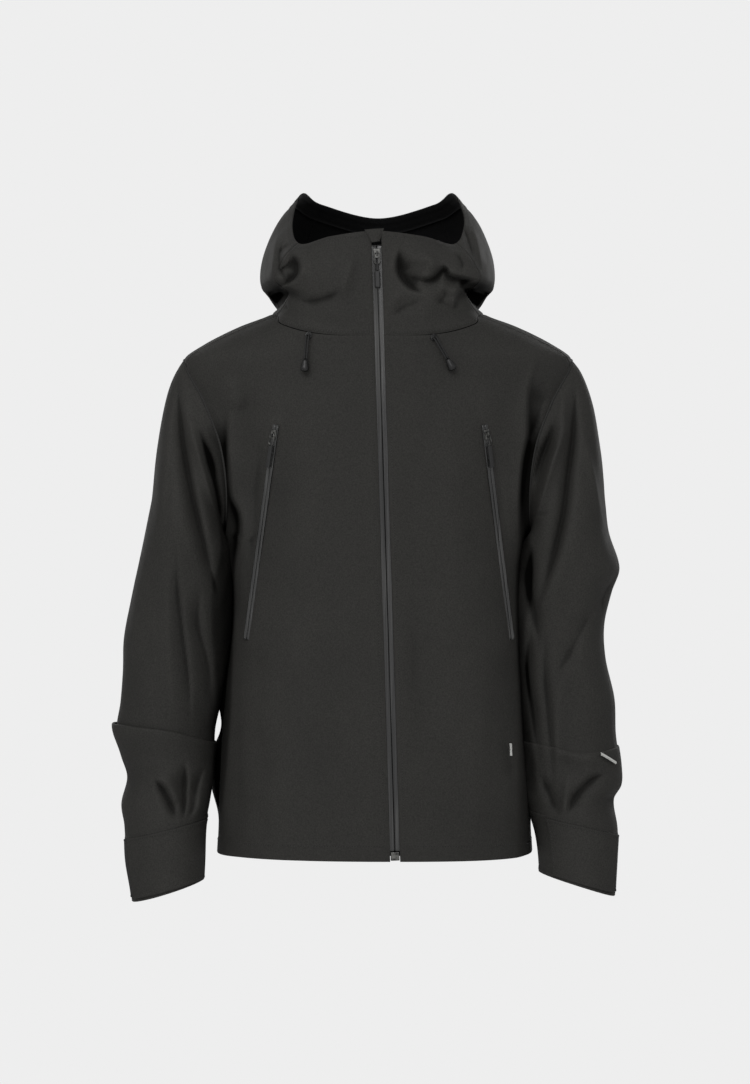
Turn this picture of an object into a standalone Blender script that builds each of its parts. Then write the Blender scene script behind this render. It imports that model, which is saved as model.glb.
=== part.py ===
"""A men's hardshell jacket, held as it is worn: front zip closed, hood down, sleeves hanging.

Frame: metres, +Z up, the front faces -Y and the wearer's left is +X. The origin is on the
centre plane, level with the high point of the shoulders, where the wearer carries the jacket.

Angles called theta run round the body from the centre front (0) over the wearer's left side
(90) to the centre back (180). Angles called phi run round an armhole or sleeve from its top or
outer side (0) over the back (90) and the inner side (180) to the front (270).
"""

import math

import bmesh
import bpy
from mathutils import Matrix, Vector

# --- driving dimensions -------------------------------------------------------------------
SHELL = 0.0020              # thickness of the laminate with its seam tape
HEM_Z = -0.648              # hem below the high point of the shoulders
SUPERELLIPSE = ((-0.70, 2.5), (-0.34, 2.4), (-0.15, 2.2), (-0.045, 1.9), (0.04, 2.0))

FRONT_DEPTH = 0.105         # centre front ahead of the origin, at the level of the shoulders
FRONT_SLOPE = 0.0694        # how much further forward the zip runs for each metre it goes down
ZIP_TOP_Z = 0.088
ZIP_TOP_X = -0.0018
ZIP_DRIFT = 0.0301          # sideways run of the front zip for each metre down
ZIP_HALF_GAP = 0.0060       # from the zip's centre line to a front panel's edge

# height: (z, half width, depth of the back)
TORSO = (
    (-0.720, 0.199, 0.128),
    (HEM_Z, 0.194, 0.125),
    (-0.550, 0.189, 0.118),
    (-0.450, 0.182, 0.110),
    (-0.340, 0.175, 0.106),
    (-0.250, 0.187, 0.116),
    (-0.155, 0.210, 0.124),
    (-0.100, 0.228, 0.122),
    (-0.045, 0.238, 0.113),
    (-0.026, 0.214, 0.106),
    (-0.005, 0.172, 0.097),
    (0.012, 0.128, 0.088),
    (0.040, 0.100, 0.085),
)
# the neck seam: (theta, z)
NECK = (
    (-20, -0.019), (0, -0.021), (20, -0.019), (42, -0.006), (60, 0.006), (90, 0.012), (140, 0.028),
    (180, 0.036), (220, 0.028),
)

ARMHOLE_THETA = 92.0
ARMHOLE_SPREAD = 28.0
ARMHOLE_Z = -0.150
ARMHOLE_RISE = 0.105
YOKE_Z = -0.055             # where the yoke seams meet the armhole
YOKE_FRONT_THETA = (60.0, 80.0)
YOKE_BACK_DROP = 0.055

# sleeve sections: (key, centre x, centre y, centre z, half width, half depth, z rise outwards)
SLEEVE = (
    (1.0, 0.2345, 0.003, -0.255, 0.0475, 0.081, 0.035),
    (2.0, 0.2450, 0.005, -0.340, 0.0555, 0.072, 0.012),
    (3.0, 0.2455, 0.006, -0.420, 0.0565, 0.067, 0.000),
    (4.0, 0.2520, 0.000, -0.500, 0.0560, 0.062, 0.000),
    (5.0, 0.2525, -0.015, -0.560, 0.0510, 0.056, 0.000),
    (6.0, 0.2515, -0.030, -0.615, 0.0475, 0.052, -0.003),
    (7.0, 0.2480, -0.048, -0.690, 0.0435, 0.047, -0.012),
)
ELBOW_KEY = 4.0
CUFF_KEY = 5.85

# hood and collar: for each theta, five points above the neck seam, the last on the rim
COWL = (
    (0, (0.000, -0.1043, 0.010), (0.000, -0.1027, 0.033), (0.000, -0.1011, 0.057),
     (0.000, -0.0994, 0.081), (0.000, -0.0977, 0.105)),
    (30, (0.070, -0.098, 0.012), (0.069, -0.100, 0.035), (0.067, -0.099, 0.058),
     (0.062, -0.094, 0.080), (0.054, -0.088, 0.100)),
    (60, (0.119, -0.066, 0.022), (0.121, -0.070, 0.042), (0.116, -0.070, 0.062),
     (0.107, -0.067, 0.080), (0.094, -0.060, 0.093)),
    (90, (0.137, -0.010, 0.026), (0.140, -0.012, 0.050), (0.135, -0.010, 0.078),
     (0.123, -0.008, 0.106), (0.106, -0.006, 0.126)),
    (120, (0.127, 0.060, 0.018), (0.140, 0.064, 0.038), (0.139, 0.062, 0.080),
     (0.122, 0.055, 0.130), (0.094, 0.046, 0.165)),
    (150, (0.080, 0.112, 0.010), (0.098, 0.150, 0.005), (0.100, 0.168, 0.055),
     (0.090, 0.154, 0.115), (0.072, 0.120, 0.159)),
    (180, (0.000, 0.118, 0.005), (0.000, 0.165, -0.032), (0.000, 0.205, 0.015),
     (0.000, 0.202, 0.092), (0.000, 0.168, 0.146)),
)
COLLAR_THETA = 62.0         # the collar ends here, and the folding gusset begins
HOOD_THETA = 112.0          # the gusset ends here, and the hood begins
CROWN_THETA = 150.0
BRIM_V = 0.93

# chest pocket zips, on the wearer's left; the right one mirrors it
CHEST_TOP = Vector((0.1250, -0.0985, -0.128))
CHEST_END = Vector((0.1600, -0.0712, -0.387))
CHEST_DRAW = 0.028          # how far from the zip the panel is drawn to its straight line

DRAWCORD_RADIUS = 0.0011
CORD_LENGTH_Z = 0.0310      # from an eyelet down to where its cords enter their end
# the eyelets under the collar seam: x, z, and how far the cords swing outwards, in degrees
EYELETS = {"left": (0.0657, -0.0235, 30.0), "right": (0.0840, -0.0205, 4.6)}

SEAM = 0.0008               # gap kept between sewn panels, which are separate solids
TOUCH = 0.0004              # gap kept between pieces that touch


# --- curves and surfaces ------------------------------------------------------------------
def smooth(rows, at):
    """The rows' values at a key, on a smooth curve through every row."""
    last = len(rows) - 1
    at = min(max(at, rows[0][0]), rows[last][0])
    i = next(k for k in range(last) if at <= rows[k + 1][0])

    def slope(k, column):
        low, high = max(k - 1, 0), min(k + 1, last)
        return (rows[high][column] - rows[low][column]) / (rows[high][0] - rows[low][0])

    step = rows[i + 1][0] - rows[i][0]
    t = (at - rows[i][0]) / step
    h01 = t * t * (3 - 2 * t)
    h10 = t * (1 - t) ** 2
    h11 = -t * t * (1 - t)
    return [
        (1 - h01) * rows[i][c] + h01 * rows[i + 1][c]
        + step * (h10 * slope(i, c) + h11 * slope(i + 1, c))
        for c in range(1, len(rows[0]))
    ]


def zip_x(z):
    return ZIP_TOP_X + ZIP_DRIFT * (ZIP_TOP_Z - z)


def front_depth(z):
    return FRONT_DEPTH - FRONT_SLOPE * z


def zip_point(z):
    """The front zip's centre line: straight, on the outer surface."""
    return Vector((zip_x(z), -front_depth(z), z))


def lean(point):
    """The zip hangs a little to one side on its way down, and the front goes with it."""
    share = min(1.0, max(0.0, -point[1] / front_depth(point[2])))
    return Vector((point[0] + zip_x(point[2]) * share ** 4, point[1], point[2]))


def signed_power(value, power):
    return math.copysign(abs(value) ** power, value)


def torso_point(theta, z):
    half_width, back_depth = smooth(TORSO, z)
    power = 2 / smooth(SUPERELLIPSE, z)[0]
    sine, cosine = math.sin(math.radians(theta)), math.cos(math.radians(theta))
    depth = front_depth(z) if cosine > 0 else back_depth
    return Vector((half_width * signed_power(sine, power), -depth * signed_power(cosine, power), z))


def neck_z(theta):
    return smooth(NECK, 180 - abs(180 - theta % 360))[0]


def armhole(phi):
    """(theta, z) on the armhole seam of the wearer's left side."""
    angle = math.radians(phi)
    return ARMHOLE_THETA + ARMHOLE_SPREAD * math.sin(angle), ARMHOLE_Z + ARMHOLE_RISE * math.cos(angle)


def armhole_reach(z):
    """How many degrees the armhole spreads to each side of its middle at this height."""
    inside = 1 - ((z - ARMHOLE_Z) / ARMHOLE_RISE) ** 2
    return ARMHOLE_SPREAD * math.sqrt(max(0.0, inside))


def front_edge_theta(z):
    """The zip-side edge of a front panel."""
    half_width = smooth(TORSO, z)[0]
    power = smooth(SUPERELLIPSE, z)[0] / 2
    return math.degrees(math.asin((ZIP_HALF_GAP / half_width) ** power))


def side_edge_theta(z):
    """The outer edge of a front panel: side seam, armhole, then the yoke's front seam."""
    if z > YOKE_Z:
        low, high = YOKE_FRONT_THETA
        return low + (high - low) * (neck_z(low) - z) / (neck_z(low) - YOKE_Z)
    return ARMHOLE_THETA - armhole_reach(z)


def front_panel_point(u, v):
    z = HEM_Z + (neck_z(YOKE_FRONT_THETA[0] * u) - HEM_Z) * v
    edge_z = HEM_Z + (neck_z(YOKE_FRONT_THETA[0]) - HEM_Z) * v
    inner, outer = front_edge_theta(z), side_edge_theta(edge_z)
    return drawn_to_zip(torso_point(inner + (outer - inner) * u, z))


def surface_at(x, z):
    """The torso's front surface at a width and height."""
    half_width = smooth(TORSO, z)[0]
    power = smooth(SUPERELLIPSE, z)[0]
    theta = math.degrees(math.asin(min(1.0, x / half_width) ** (power / 2)))
    return torso_point(theta, z)


def drawn_to_zip(point):
    """The chest zip is straight, and the panel follows it."""
    share = (CHEST_TOP.z - point.z) / (CHEST_TOP.z - CHEST_END.z)
    beyond = max(0.0, -share, share - 1) * 4
    line = CHEST_TOP.lerp(CHEST_END, min(1.0, max(0.0, share)))
    off = (point.x - line.x) / CHEST_DRAW
    weight = math.exp(-off * off) * max(0.0, 1 - beyond * beyond) ** 2
    return point + Vector((0, weight * (line.y - surface_at(line.x, point.z).y), 0))


def back_panel_point(u, v):
    """u runs from -1 at the left side seam to 1 at the right one."""
    top = YOKE_Z - YOKE_BACK_DROP * (1 - u * u)
    edge_z = HEM_Z + (YOKE_Z - HEM_Z) * v
    reach = 180 - ARMHOLE_THETA - armhole_reach(edge_z)
    return torso_point(180 + reach * u, HEM_Z + (top - HEM_Z) * v)


def yoke_point(u, v):
    """u runs from -1 at the left front seam over the back to 1; v from the outer edge to the neck."""
    side = abs(u)
    neck_theta = 180 - (180 - YOKE_FRONT_THETA[0]) * side
    edge_front = 0.80       # share of u where the back seam meets the armhole
    if side > edge_front:
        phi = 24.8 * (1 - 2 * (side - edge_front) / (1 - edge_front))
        theta, z = armhole(phi)
    else:
        theta = 180 - (180 - armhole(24.8)[0]) * side / edge_front
        z = YOKE_Z - YOKE_BACK_DROP * (1 - (side / edge_front) ** 2)
    theta += (neck_theta - theta) * v
    z += (neck_z(neck_theta) - z) * v
    return torso_point(theta if u < 0 else 360 - theta, z)


def cowl_point(theta, v):
    """The collar and hood: theta round the neck, v from the neck seam (0) to the rim (1)."""
    side = 180 - abs(180 - theta % 360)
    rows = [(key, *[value for point in points for value in point]) for key, *points in COWL]
    before = (-rows[1][0], *[-n if k % 3 == 0 else n for k, n in enumerate(rows[1][1:])])
    after = (360 - rows[-2][0], *[-n if k % 3 == 0 else n for k, n in enumerate(rows[-2][1:])])
    values = [*torso_point(side, neck_z(side)), *smooth([before, *rows, after], side)]
    knots = [(k / 5, *values[3 * k:3 * k + 3]) for k in range(6)]
    point = Vector(smooth(knots, v))
    if theta % 360 > 180:
        point.x = -point.x
    return point


def collar_point(u, v):
    """Half the collar: u from the zip's edge (0) to the gusset (1)."""
    start = ZIP_HALF_GAP / cowl_point(1.0, v).x
    return cowl_point(start + (COLLAR_THETA - start) * u, v)


def sleeve_section(key, phi):
    cx, cy, cz, width, depth, rise = smooth(SLEEVE, key)
    cosine, sine = math.cos(math.radians(phi)), math.sin(math.radians(phi))
    return Vector((cx + width * cosine, cy + depth * sine, cz + rise * cosine))


def sleeve_point(key, phi):
    """The wearer's left sleeve: key 0 is the armhole seam, 1 to 7 are the sections of SLEEVE."""
    if key >= 1:
        return sleeve_section(key, phi)
    start, end = torso_point(*armhole(phi)), sleeve_section(1.0, phi)
    cosine, sine = math.cos(math.radians(phi)), math.sin(math.radians(phi))
    leave = Vector((0.06 + 0.04 * cosine, 0.03 * sine, -0.07 - 0.02 * cosine))
    arrive = (sleeve_section(1.4, phi) - end) / 0.4
    t = key
    blend = t * t * (3 - 2 * t)
    return start.lerp(end, blend) + t * (1 - t) ** 2 * leave - t * t * (1 - t) * arrive


def offset_surface(surface, inwards):
    """The surface moved along its own normal; u and v must run so that the normal faces out."""
    step = 1e-3

    def moved(u, v):
        along_u = surface(u + step, v) - surface(u - step, v)
        along_v = surface(u, v + step) - surface(u, v - step)
        return surface(u, v) - inwards * along_u.cross(along_v).normalized()

    return moved


# --- building blocks ----------------------------------------------------------------------
def clear_scene():
    for obj in list(bpy.data.objects):
        bpy.data.objects.remove(obj)


def collection(name, hidden=False):
    made = bpy.data.collections.new(name)
    bpy.context.scene.collection.children.link(made)
    made.hide_render = hidden
    return made


def material(name, colour, roughness, metallic=0.0):
    made = bpy.data.materials.new(name)
    made.use_nodes = True
    shader = made.node_tree.nodes["Principled BSDF"]
    shader.inputs["Base Color"].default_value = (*colour, 1.0)
    shader.inputs["Roughness"].default_value = roughness
    shader.inputs["Metallic"].default_value = metallic
    return made


def steps(low, high, count):
    return [low + (high - low) * i / count for i in range(count + 1)]


def add_mesh(name, points, faces, finish, home):
    mesh = bpy.data.meshes.new(name)
    mesh.from_pydata(points, [], faces)
    mesh.update()
    obj = bpy.data.objects.new(name, mesh)
    obj.data.materials.append(finish)
    home.objects.link(obj)
    mesh.shade_smooth()
    return obj


def lofted(name, surface, us, vs, finish, home, thickness=SHELL, side=1):
    """A sewn panel: the surface over us and vs, thickened inwards. side -1 mirrors it to the
    wearer's right."""
    return shell(name, surface, us, vs, finish, home, thickness, side, len(us) - 1, side > 0)


def sleeved(name, surface, us, vs, finish, home, thickness=SHELL, side=1, closed=True):
    """A tube, or an open wrap, round an arm: u is phi and v the key down the sleeve."""
    spans = len(us) if closed else len(us) - 1
    return shell(name, surface, us, vs, finish, home, thickness, side, spans, side < 0)


def shell(name, surface, us, vs, finish, home, thickness, side, spans, ahead):
    points = [lean(surface(u, v) * Vector((side, 1, 1))) for v in vs for u in us]
    columns = len(us)
    faces = []
    for row in range(len(vs) - 1):
        for column in range(spans):
            a = row * columns + column
            b = row * columns + (column + 1) % columns
            face = (a, b, b + columns, a + columns)
            faces.append(face if ahead else face[::-1])
    obj = add_mesh(name, points, faces, finish, home)
    solid = obj.modifiers.new("Thickness", "SOLIDIFY")
    solid.thickness = thickness
    solid.offset = -1
    return obj


def block(name, size, finish, home, bevel=0.0):
    """A box centred on its own origin."""
    bpy.ops.mesh.primitive_cube_add(size=1)
    obj = bpy.context.object
    obj.name = name
    obj.data.transform(Matrix.Diagonal((*size, 1.0)))
    rehome(obj, finish, home)
    if bevel:
        rounding = obj.modifiers.new("Rounding", "BEVEL")
        rounding.width = bevel
        rounding.segments = 2
    return obj


def rehome(obj, finish, home):
    for old in list(obj.users_collection):
        old.objects.unlink(obj)
    home.objects.link(obj)
    obj.data.materials.append(finish)


def turned(name, profile, finish, home, sides=16):
    """A solid of revolution round its own Z axis, from (radius, height) down its outer side."""
    mesh = bpy.data.meshes.new(name)
    edges = [(i, i + 1) for i in range(len(profile) - 1)]
    if profile[0][0] > 0:
        edges.append((len(profile) - 1, 0))
    mesh.from_pydata([(r, 0, h) for r, h in profile], edges, [])
    obj = bpy.data.objects.new(name, mesh)
    obj.data.materials.append(finish)
    home.objects.link(obj)
    screw = obj.modifiers.new("Turn", "SCREW")
    screw.steps = screw.render_steps = sides
    screw.use_merge_vertices = True
    screw.merge_threshold = 0.00005
    return obj


def wire(name, points, radius, finish, home, closed=False, sides=2):
    """A round wire or cord along the points, with filled ends."""
    data = bpy.data.curves.new(name, "CURVE")
    data.dimensions = "3D"
    spline = data.splines.new("POLY")
    spline.points.add(len(points) - 1)
    for knot, point in zip(spline.points, points):
        knot.co = (*point, 1.0)
    spline.use_cyclic_u = closed
    data.bevel_depth = radius
    data.bevel_resolution = sides
    data.use_fill_caps = not closed
    obj = bpy.data.objects.new(name, data)
    obj.data.materials.append(finish)
    home.objects.link(obj)
    return obj


def strap(name, outline, height, finish, home):
    """A flat outline in the XY plane, extruded to its height and centred on Z."""
    data = bpy.data.curves.new(name, "CURVE")
    data.dimensions = "2D"
    data.fill_mode = "BOTH"
    data.extrude = height / 2
    spline = data.splines.new("POLY")
    spline.points.add(len(outline) - 1)
    for knot, point in zip(spline.points, outline):
        knot.co = (*point, 0.0, 1.0)
    spline.use_cyclic_u = True
    obj = bpy.data.objects.new(name, data)
    obj.data.materials.append(finish)
    home.objects.link(obj)
    return obj


def as_mesh(obj, home):
    """Replaces a curve by its mesh, welded, so that it can be cut or joined."""
    graph = bpy.context.evaluated_depsgraph_get()
    mesh = bpy.data.meshes.new_from_object(obj.evaluated_get(graph))
    build = bmesh.new()
    build.from_mesh(mesh)
    bmesh.ops.remove_doubles(build, verts=build.verts, dist=1e-6)
    build.to_mesh(mesh)
    build.free()
    name, place = obj.name, obj.matrix_world.copy()
    bpy.data.objects.remove(obj)
    made = bpy.data.objects.new(name, mesh)
    made.matrix_world = place
    home.objects.link(made)
    return made


def cut(target, cutter, operation="DIFFERENCE"):
    modifier = target.modifiers.new(operation.title(), "BOOLEAN")
    modifier.operation = operation
    modifier.object = cutter
    cutter.hide_render = True
    cutter.display_type = "WIRE"


def frame_at(origin, up, outwards):
    """A placement whose Z runs along up and whose -Y faces outwards."""
    z = up.normalized()
    x = z.cross(outwards).normalized()
    y = z.cross(x)
    return Matrix.Translation(origin) @ Matrix((x, y, z)).transposed().to_4x4()


def anchor(name, placement, home):
    """An empty that carries the pieces built in its own frame."""
    empty = bpy.data.objects.new(name, None)
    empty.matrix_world = placement
    home.objects.link(empty)
    return empty


def carry(empty, *objs):
    for obj in objs:
        obj.parent = empty


# --- the jacket's panels ------------------------------------------------------------------
def torso_panels(fabric, home):
    seam_u, seam_v = SEAM / 0.30, SEAM / 0.65
    armhole_levels = [armhole(phi)[1] for phi in (180, 165, 145, 120, 90, 60, 40, 24.8)]
    top = neck_z(YOKE_FRONT_THETA[0])
    levels = [HEM_Z, -0.56, -0.47, -0.39, -0.32, *armhole_levels, -0.036, -0.015, top]
    rows = [(z - HEM_Z) / (top - HEM_Z) for z in levels]
    rows[0], rows[-1] = seam_v, 1 - seam_v
    panels = {}
    for side, label in ((1, "left"), (-1, "right")):
        panels[label] = lofted(f"front_panel_{label}", front_panel_point, steps(0.0, 1 - seam_u, 10),
                               rows, fabric, home, side=side)
    back_levels = [HEM_Z, -0.56, -0.47, -0.39, -0.32, *armhole_levels]
    back_rows = [(z - HEM_Z) / (YOKE_Z - HEM_Z) for z in back_levels]
    back_rows[-1] = 1 - seam_v
    lofted("back_panel", back_panel_point, steps(-1 + 2 * seam_u, 1 - 2 * seam_u, 16), back_rows,
           fabric, home)
    lofted("shoulder_yoke", yoke_point, steps(-1 + seam_u, 1 - seam_u, 24), steps(0.015, 0.99, 5),
           fabric, home)
    return panels


def sleeves(fabric, home):
    ring = steps(0, 360, 24)[:-1]
    for side, label in ((1, "left"), (-1, "right")):
        upper = [0.014, 0.10, 0.28, 0.5, 0.75, 1.0, 1.6, 2.3, 3.1, ELBOW_KEY - 0.01]
        sleeved(f"upper_sleeve_{label}", sleeve_at_key, ring, upper, fabric, home, side=side)
        lower = [ELBOW_KEY + 0.005, 4.5, 5.0, 5.45, CUFF_KEY - 0.01]
        sleeved(f"forearm_sleeve_{label}", sleeve_at_key, ring, lower, fabric, home, side=side)


def sleeve_at_key(phi, key):
    return sleeve_point(key, phi)


def around_cuff(reach):
    """The cuff's surface moved outwards by reach."""
    def surface(phi, key):
        cosine, sine = math.cos(math.radians(phi)), math.sin(math.radians(phi))
        return sleeve_section(key, phi) + Vector((reach * cosine, reach * sine, 0))

    return surface


def cuffs(fabric, hook, home):
    ring = steps(0, 360, 24)[:-1]
    for side, label in ((1, "left"), (-1, "right")):
        sleeved(f"cuff_band_{label}", around_cuff(0.0010), ring, steps(CUFF_KEY, 7.0, 3), fabric,
                home, 0.0030, side)
        sleeved(f"cuff_tab_{label}", around_cuff(0.0036), steps(210, 330, 8),
                steps(CUFF_KEY + 0.08, 6.92, 2), fabric, home, 0.0020, side, closed=False)
        sleeved(f"cuff_loop_field_{label}", around_cuff(0.0026), steps(345, 405, 4),
                steps(CUFF_KEY + 0.12, 6.88, 2), hook, home, 0.0010, side, closed=False)


def collar_and_hood(fabric, home):
    low, high = 0.007, 0.995
    crown_low, crown_high = CROWN_THETA + 0.3, 360 - CROWN_THETA - 0.3
    for side, label in ((1, "left"), (-1, "right")):
        lofted(f"collar_{label}", collar_point, steps(0.0, 1.0, 7), steps(low, high, 6), fabric,
               home, side=side)
        lofted(f"hood_gusset_{label}", cowl_point, steps(COLLAR_THETA + 0.5, HOOD_THETA - 0.5, 5),
               steps(low, high, 6), fabric, home, side=side)
        lofted(f"hood_side_{label}", cowl_point, steps(HOOD_THETA, CROWN_THETA - 0.3, 5),
               steps(low, BRIM_V - 0.004, 8), fabric, home, side=side)
    lofted("hood_crown", cowl_point, steps(crown_low, crown_high, 8), steps(low, BRIM_V - 0.004, 8),
           fabric, home)
    lofted("hood_brim", cowl_point, steps(HOOD_THETA, 360 - HOOD_THETA, 18),
           steps(BRIM_V, high, 1), fabric, home, thickness=0.003)


def inner_trims(lining, webbing, label_cloth, home):
    """What the shell holds inside: neck facing, hanging loop, label, storm flap and hem facing."""
    inner_yoke = offset_surface(lambda theta, drop: torso_point(theta, neck_z(theta) - drop), -0.0050)
    lofted("neck_facing", inner_yoke, steps(118, 242, 12), steps(0.036, 0.006, 2), lining, home,
           thickness=0.0010)
    half, reach, nape_y, web = 0.024, 0.0125, 0.0762, 0.0012
    outer = [(-half, nape_y), (-half + 0.004, nape_y - reach + 0.003), (-half + 0.010, nape_y - reach),
             (half - 0.010, nape_y - reach), (half - 0.004, nape_y - reach + 0.003), (half, nape_y)]
    inner = [(x * (1 - web / half), y + (web if 0 < k < 5 else 0.0)) for k, (x, y) in enumerate(outer)]
    loop = strap("hanger_loop", outer + inner[::-1], 0.008, webbing, home)
    loop.location.z = 0.024
    tag = block("size_label", (0.034, 0.0008, 0.018), label_cloth, home)
    tag.location = (0.0, 0.0752, 0.008)

    top, low = zip_point(0.094), zip_point(HEM_Z + 0.006)
    flap = block("storm_flap", (0.042, 0.0012, (top - low).length), lining, home)
    flap.matrix_world = frame_at((top + low) / 2, top - low, Vector((0, -1, 0)))
    flap.location.y += 0.0115

    inner_hem = offset_surface(lambda theta, z: torso_point(theta, z), 0.0085)
    lofted("hem_facing", inner_hem, steps(8, 352, 44), (HEM_Z + 0.004, HEM_Z + 0.032), lining, home,
           thickness=0.0010)
    route = offset_surface(lambda theta, z: torso_point(theta, z), 0.0056)
    wire("hem_drawcord", [lean(route(theta, HEM_Z + 0.014)) for theta in steps(12, 348, 36)], 0.0012,
         webbing, home, sides=1)


def hem_locks(plastic, home):
    """A spring cord lock at each side of the hem: an open barrel with its plunger."""
    for side, label in ((1, "left"), (-1, "right")):
        place = torso_point(100 if side > 0 else 260, HEM_Z + 0.02) - Vector((side * 0.0155, 0, 0))
        barrel = turned(f"hem_lock_{label}",
                        [(0.0047, 0.006), (0.0047, -0.008), (0.0001, -0.008), (0.0001, -0.0065),
                         (0.0034, -0.0065), (0.0034, 0.006)], plastic, home)
        plunger = turned(f"hem_plunger_{label}",
                         [(0.0001, 0.010), (0.0027, 0.010), (0.0030, 0.009), (0.0030, -0.0025),
                          (0.0001, -0.0025)], plastic, home)
        barrel.location = plunger.location = place


def pocket_bags(lining, panels, home, helpers):
    """A flat bag behind each chest zip, and the slot that the zip sits in."""
    for side, label in ((1, "left"), (-1, "right")):
        bag = offset_surface(torso_point, 0.0125)
        lofted(f"pocket_bag_{label}", bag, steps(22, 56, 6), steps(-0.43, -0.20, 5), lining, home,
               thickness=0.0024, side=side)
        slot = block(f"chest_slot_{label}", (0.0108, 0.05, (CHEST_TOP - CHEST_END).length + 0.0012),
                     lining, helpers)
        slot.matrix_world = chest_frame(side, 0.5)
        cut(panels[label], slot)


def chest_frame(side, share):
    """On the chest zip, a share of the way down it, with -Y facing out of the jacket."""
    turn = Vector((side, 1, 1))
    top, end = lean(CHEST_TOP * turn), lean(CHEST_END * turn)
    return frame_at(top.lerp(end, share), top - end, Vector((0.62 * side, -0.78, 0.0)))


# --- zips ---------------------------------------------------------------------------------
TAPE = 0.0010
COIL = 0.0020
TAPE_SLIT = 0.0006          # half the slit that a slider's web runs in
CHEST_TAPE = 0.0024


def front_zip(tape_cloth, plastic, metal, home):
    top, low = zip_point(ZIP_TOP_Z), zip_point(HEM_Z + 0.012)
    length = (top - low).length
    holder = anchor("front_zip_frame", frame_at((top + low) / 2, top - low, Vector((0, -1, 0))), home)
    for side, label in ((1, "left"), (-1, "right")):
        tape = block(f"front_zip_tape_{label}", (0.0130, TAPE, length), tape_cloth, home)
        tape.location = (side * (TAPE_SLIT + 0.0065), 0.0029 + TAPE / 2, 0)
        coil = block(f"front_zip_coil_{label}", (0.0022, COIL, length - 0.004), plastic, home)
        coil.location = (side * (TAPE_SLIT + 0.0011), 0.0029 + TAPE + 0.0003 + COIL / 2, 0)
        carry(holder, tape, coil)
    box = block("front_zip_box", (0.0105, 0.0060, 0.0100), metal, home, bevel=0.0008)
    box.location = (0, 0.0048, -length / 2 - 0.0056)
    carry(holder, box)


def chest_zip(side, label, tape_cloth, home, helpers):
    """The coated tapes of a pocket zip, one frame round the slit that its slider runs in."""
    length = (CHEST_TOP - CHEST_END).length
    tape = block(f"chest_zip_tape_{label}", (0.0096, CHEST_TAPE, length), tape_cloth, home)
    slit = block(f"chest_slit_{label}", (2 * TAPE_SLIT, 0.02, length - 0.006), tape_cloth, helpers)
    tape.matrix_world = slit.matrix_world = chest_frame(side, 0.5)
    cut(tape, slit)


def slider(name, placement, metal, home, helpers, tape_front, depth):
    """A zip slider: front plate, web through the slit, back plate, and the arch for its pull.
    Its frame has Z up along the zip and -Y out of the jacket."""
    holder = anchor(f"{name}_frame", placement, home)
    plate, gap = 0.0016, TOUCH
    front = tape_front - gap - plate / 2
    back = tape_front + depth + gap + 0.0006
    body = block(name, (0.0082, plate, 0.0115), metal, home, bevel=0.0005)
    body.location = (0, front, 0)
    web = block(f"{name}_web", (0.0006, back - front, 0.0070), metal, helpers)
    web.location = (0, (front + back) / 2, 0)
    rear = block(f"{name}_rear", (0.0076, 0.0012, 0.0100), metal, helpers)
    rear.location = (0, back, 0)
    arc = [(0.0, front - plate / 2 + 0.0004 - 0.0030 * math.sin(a), 0.0030 * math.cos(a))
           for a in steps(0.0, math.pi, 8)]
    arch = as_mesh(wire(f"{name}_arch", arc, 0.0006, metal, helpers), helpers)
    carry(holder, body, web, rear, arch)
    for piece in (web, rear, arch):
        cut(body, piece, "UNION")
    return front - plate / 2 - 0.0014


def pull_wire(name, metal, home):
    """The wire link of a pull, hanging from its crossbar, which lies on its own X axis."""
    half, drop, corner = 0.0030, 0.0130, 0.0012
    bar = [(-half + corner, 0), (half - corner, 0), (half, -corner)]
    lobe = [(0.0036 * math.cos(a), -drop + 0.0036 + 0.0036 * math.sin(a))
            for a in steps(0.15, -math.pi - 0.15, 9)]
    outline = bar + lobe + [(-half, -corner)]
    return wire(name, [(x, 0.0, z) for x, z in outline], 0.0006, metal, home, closed=True, sides=1)


def pull_loop(name, webbing, home, top, drop):
    """A loop of webbing round the bottom of the wire link, in its YZ plane."""
    radius = 0.0017
    upper = [(0.0, radius * math.cos(a), top + radius * math.sin(a)) for a in steps(0.0, math.pi, 6)]
    return wire(name, upper + [(0.0, -radius, drop), (0.0, radius, drop)], 0.00075, webbing, home,
                closed=True, sides=1)


def pull_grip(name, rubber, home, top, length):
    grip = block(name, (0.0056, 0.0030, length), rubber, home, bevel=0.0010)
    grip.location = (0, 0, top - length / 2)
    return grip


def pulls(metal, webbing, rubber, home, helpers):
    """The three sliders with their pulls; the chest ones hang along their own zips."""
    start = zip_point(ZIP_TOP_Z - 0.010)
    place = frame_at(start, zip_point(0.0) - zip_point(-0.1), Vector((0, -1, 0)))
    pivot_y = slider("front_slider", place, metal, home, helpers, 0.0029, TAPE + 0.0003 + COIL)
    hang = anchor("front_pull_frame", place @ Matrix.Translation((0, pivot_y, 0)), home)
    link = pull_wire("front_pull_wire", metal, home)
    loop = pull_loop("front_pull_loop", webbing, home, -0.0130, -0.0205)
    grip = pull_grip("front_pull_grip", rubber, home, -0.0217, 0.020)
    carry(hang, link, loop, grip)
    for side, label in ((1, "left"), (-1, "right")):
        place = chest_frame(side, 0.045)
        pivot_y = slider(f"chest_slider_{label}", place, metal, home, helpers, -CHEST_TAPE / 2, CHEST_TAPE)
        hang = anchor(f"chest_pull_frame_{label}", place @ Matrix.Translation((0, pivot_y, 0)), home)
        link = pull_wire(f"chest_pull_wire_{label}", metal, home)
        grip = pull_grip(f"chest_pull_grip_{label}", rubber, home, -0.0140, 0.026)
        carry(hang, link, grip)


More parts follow.
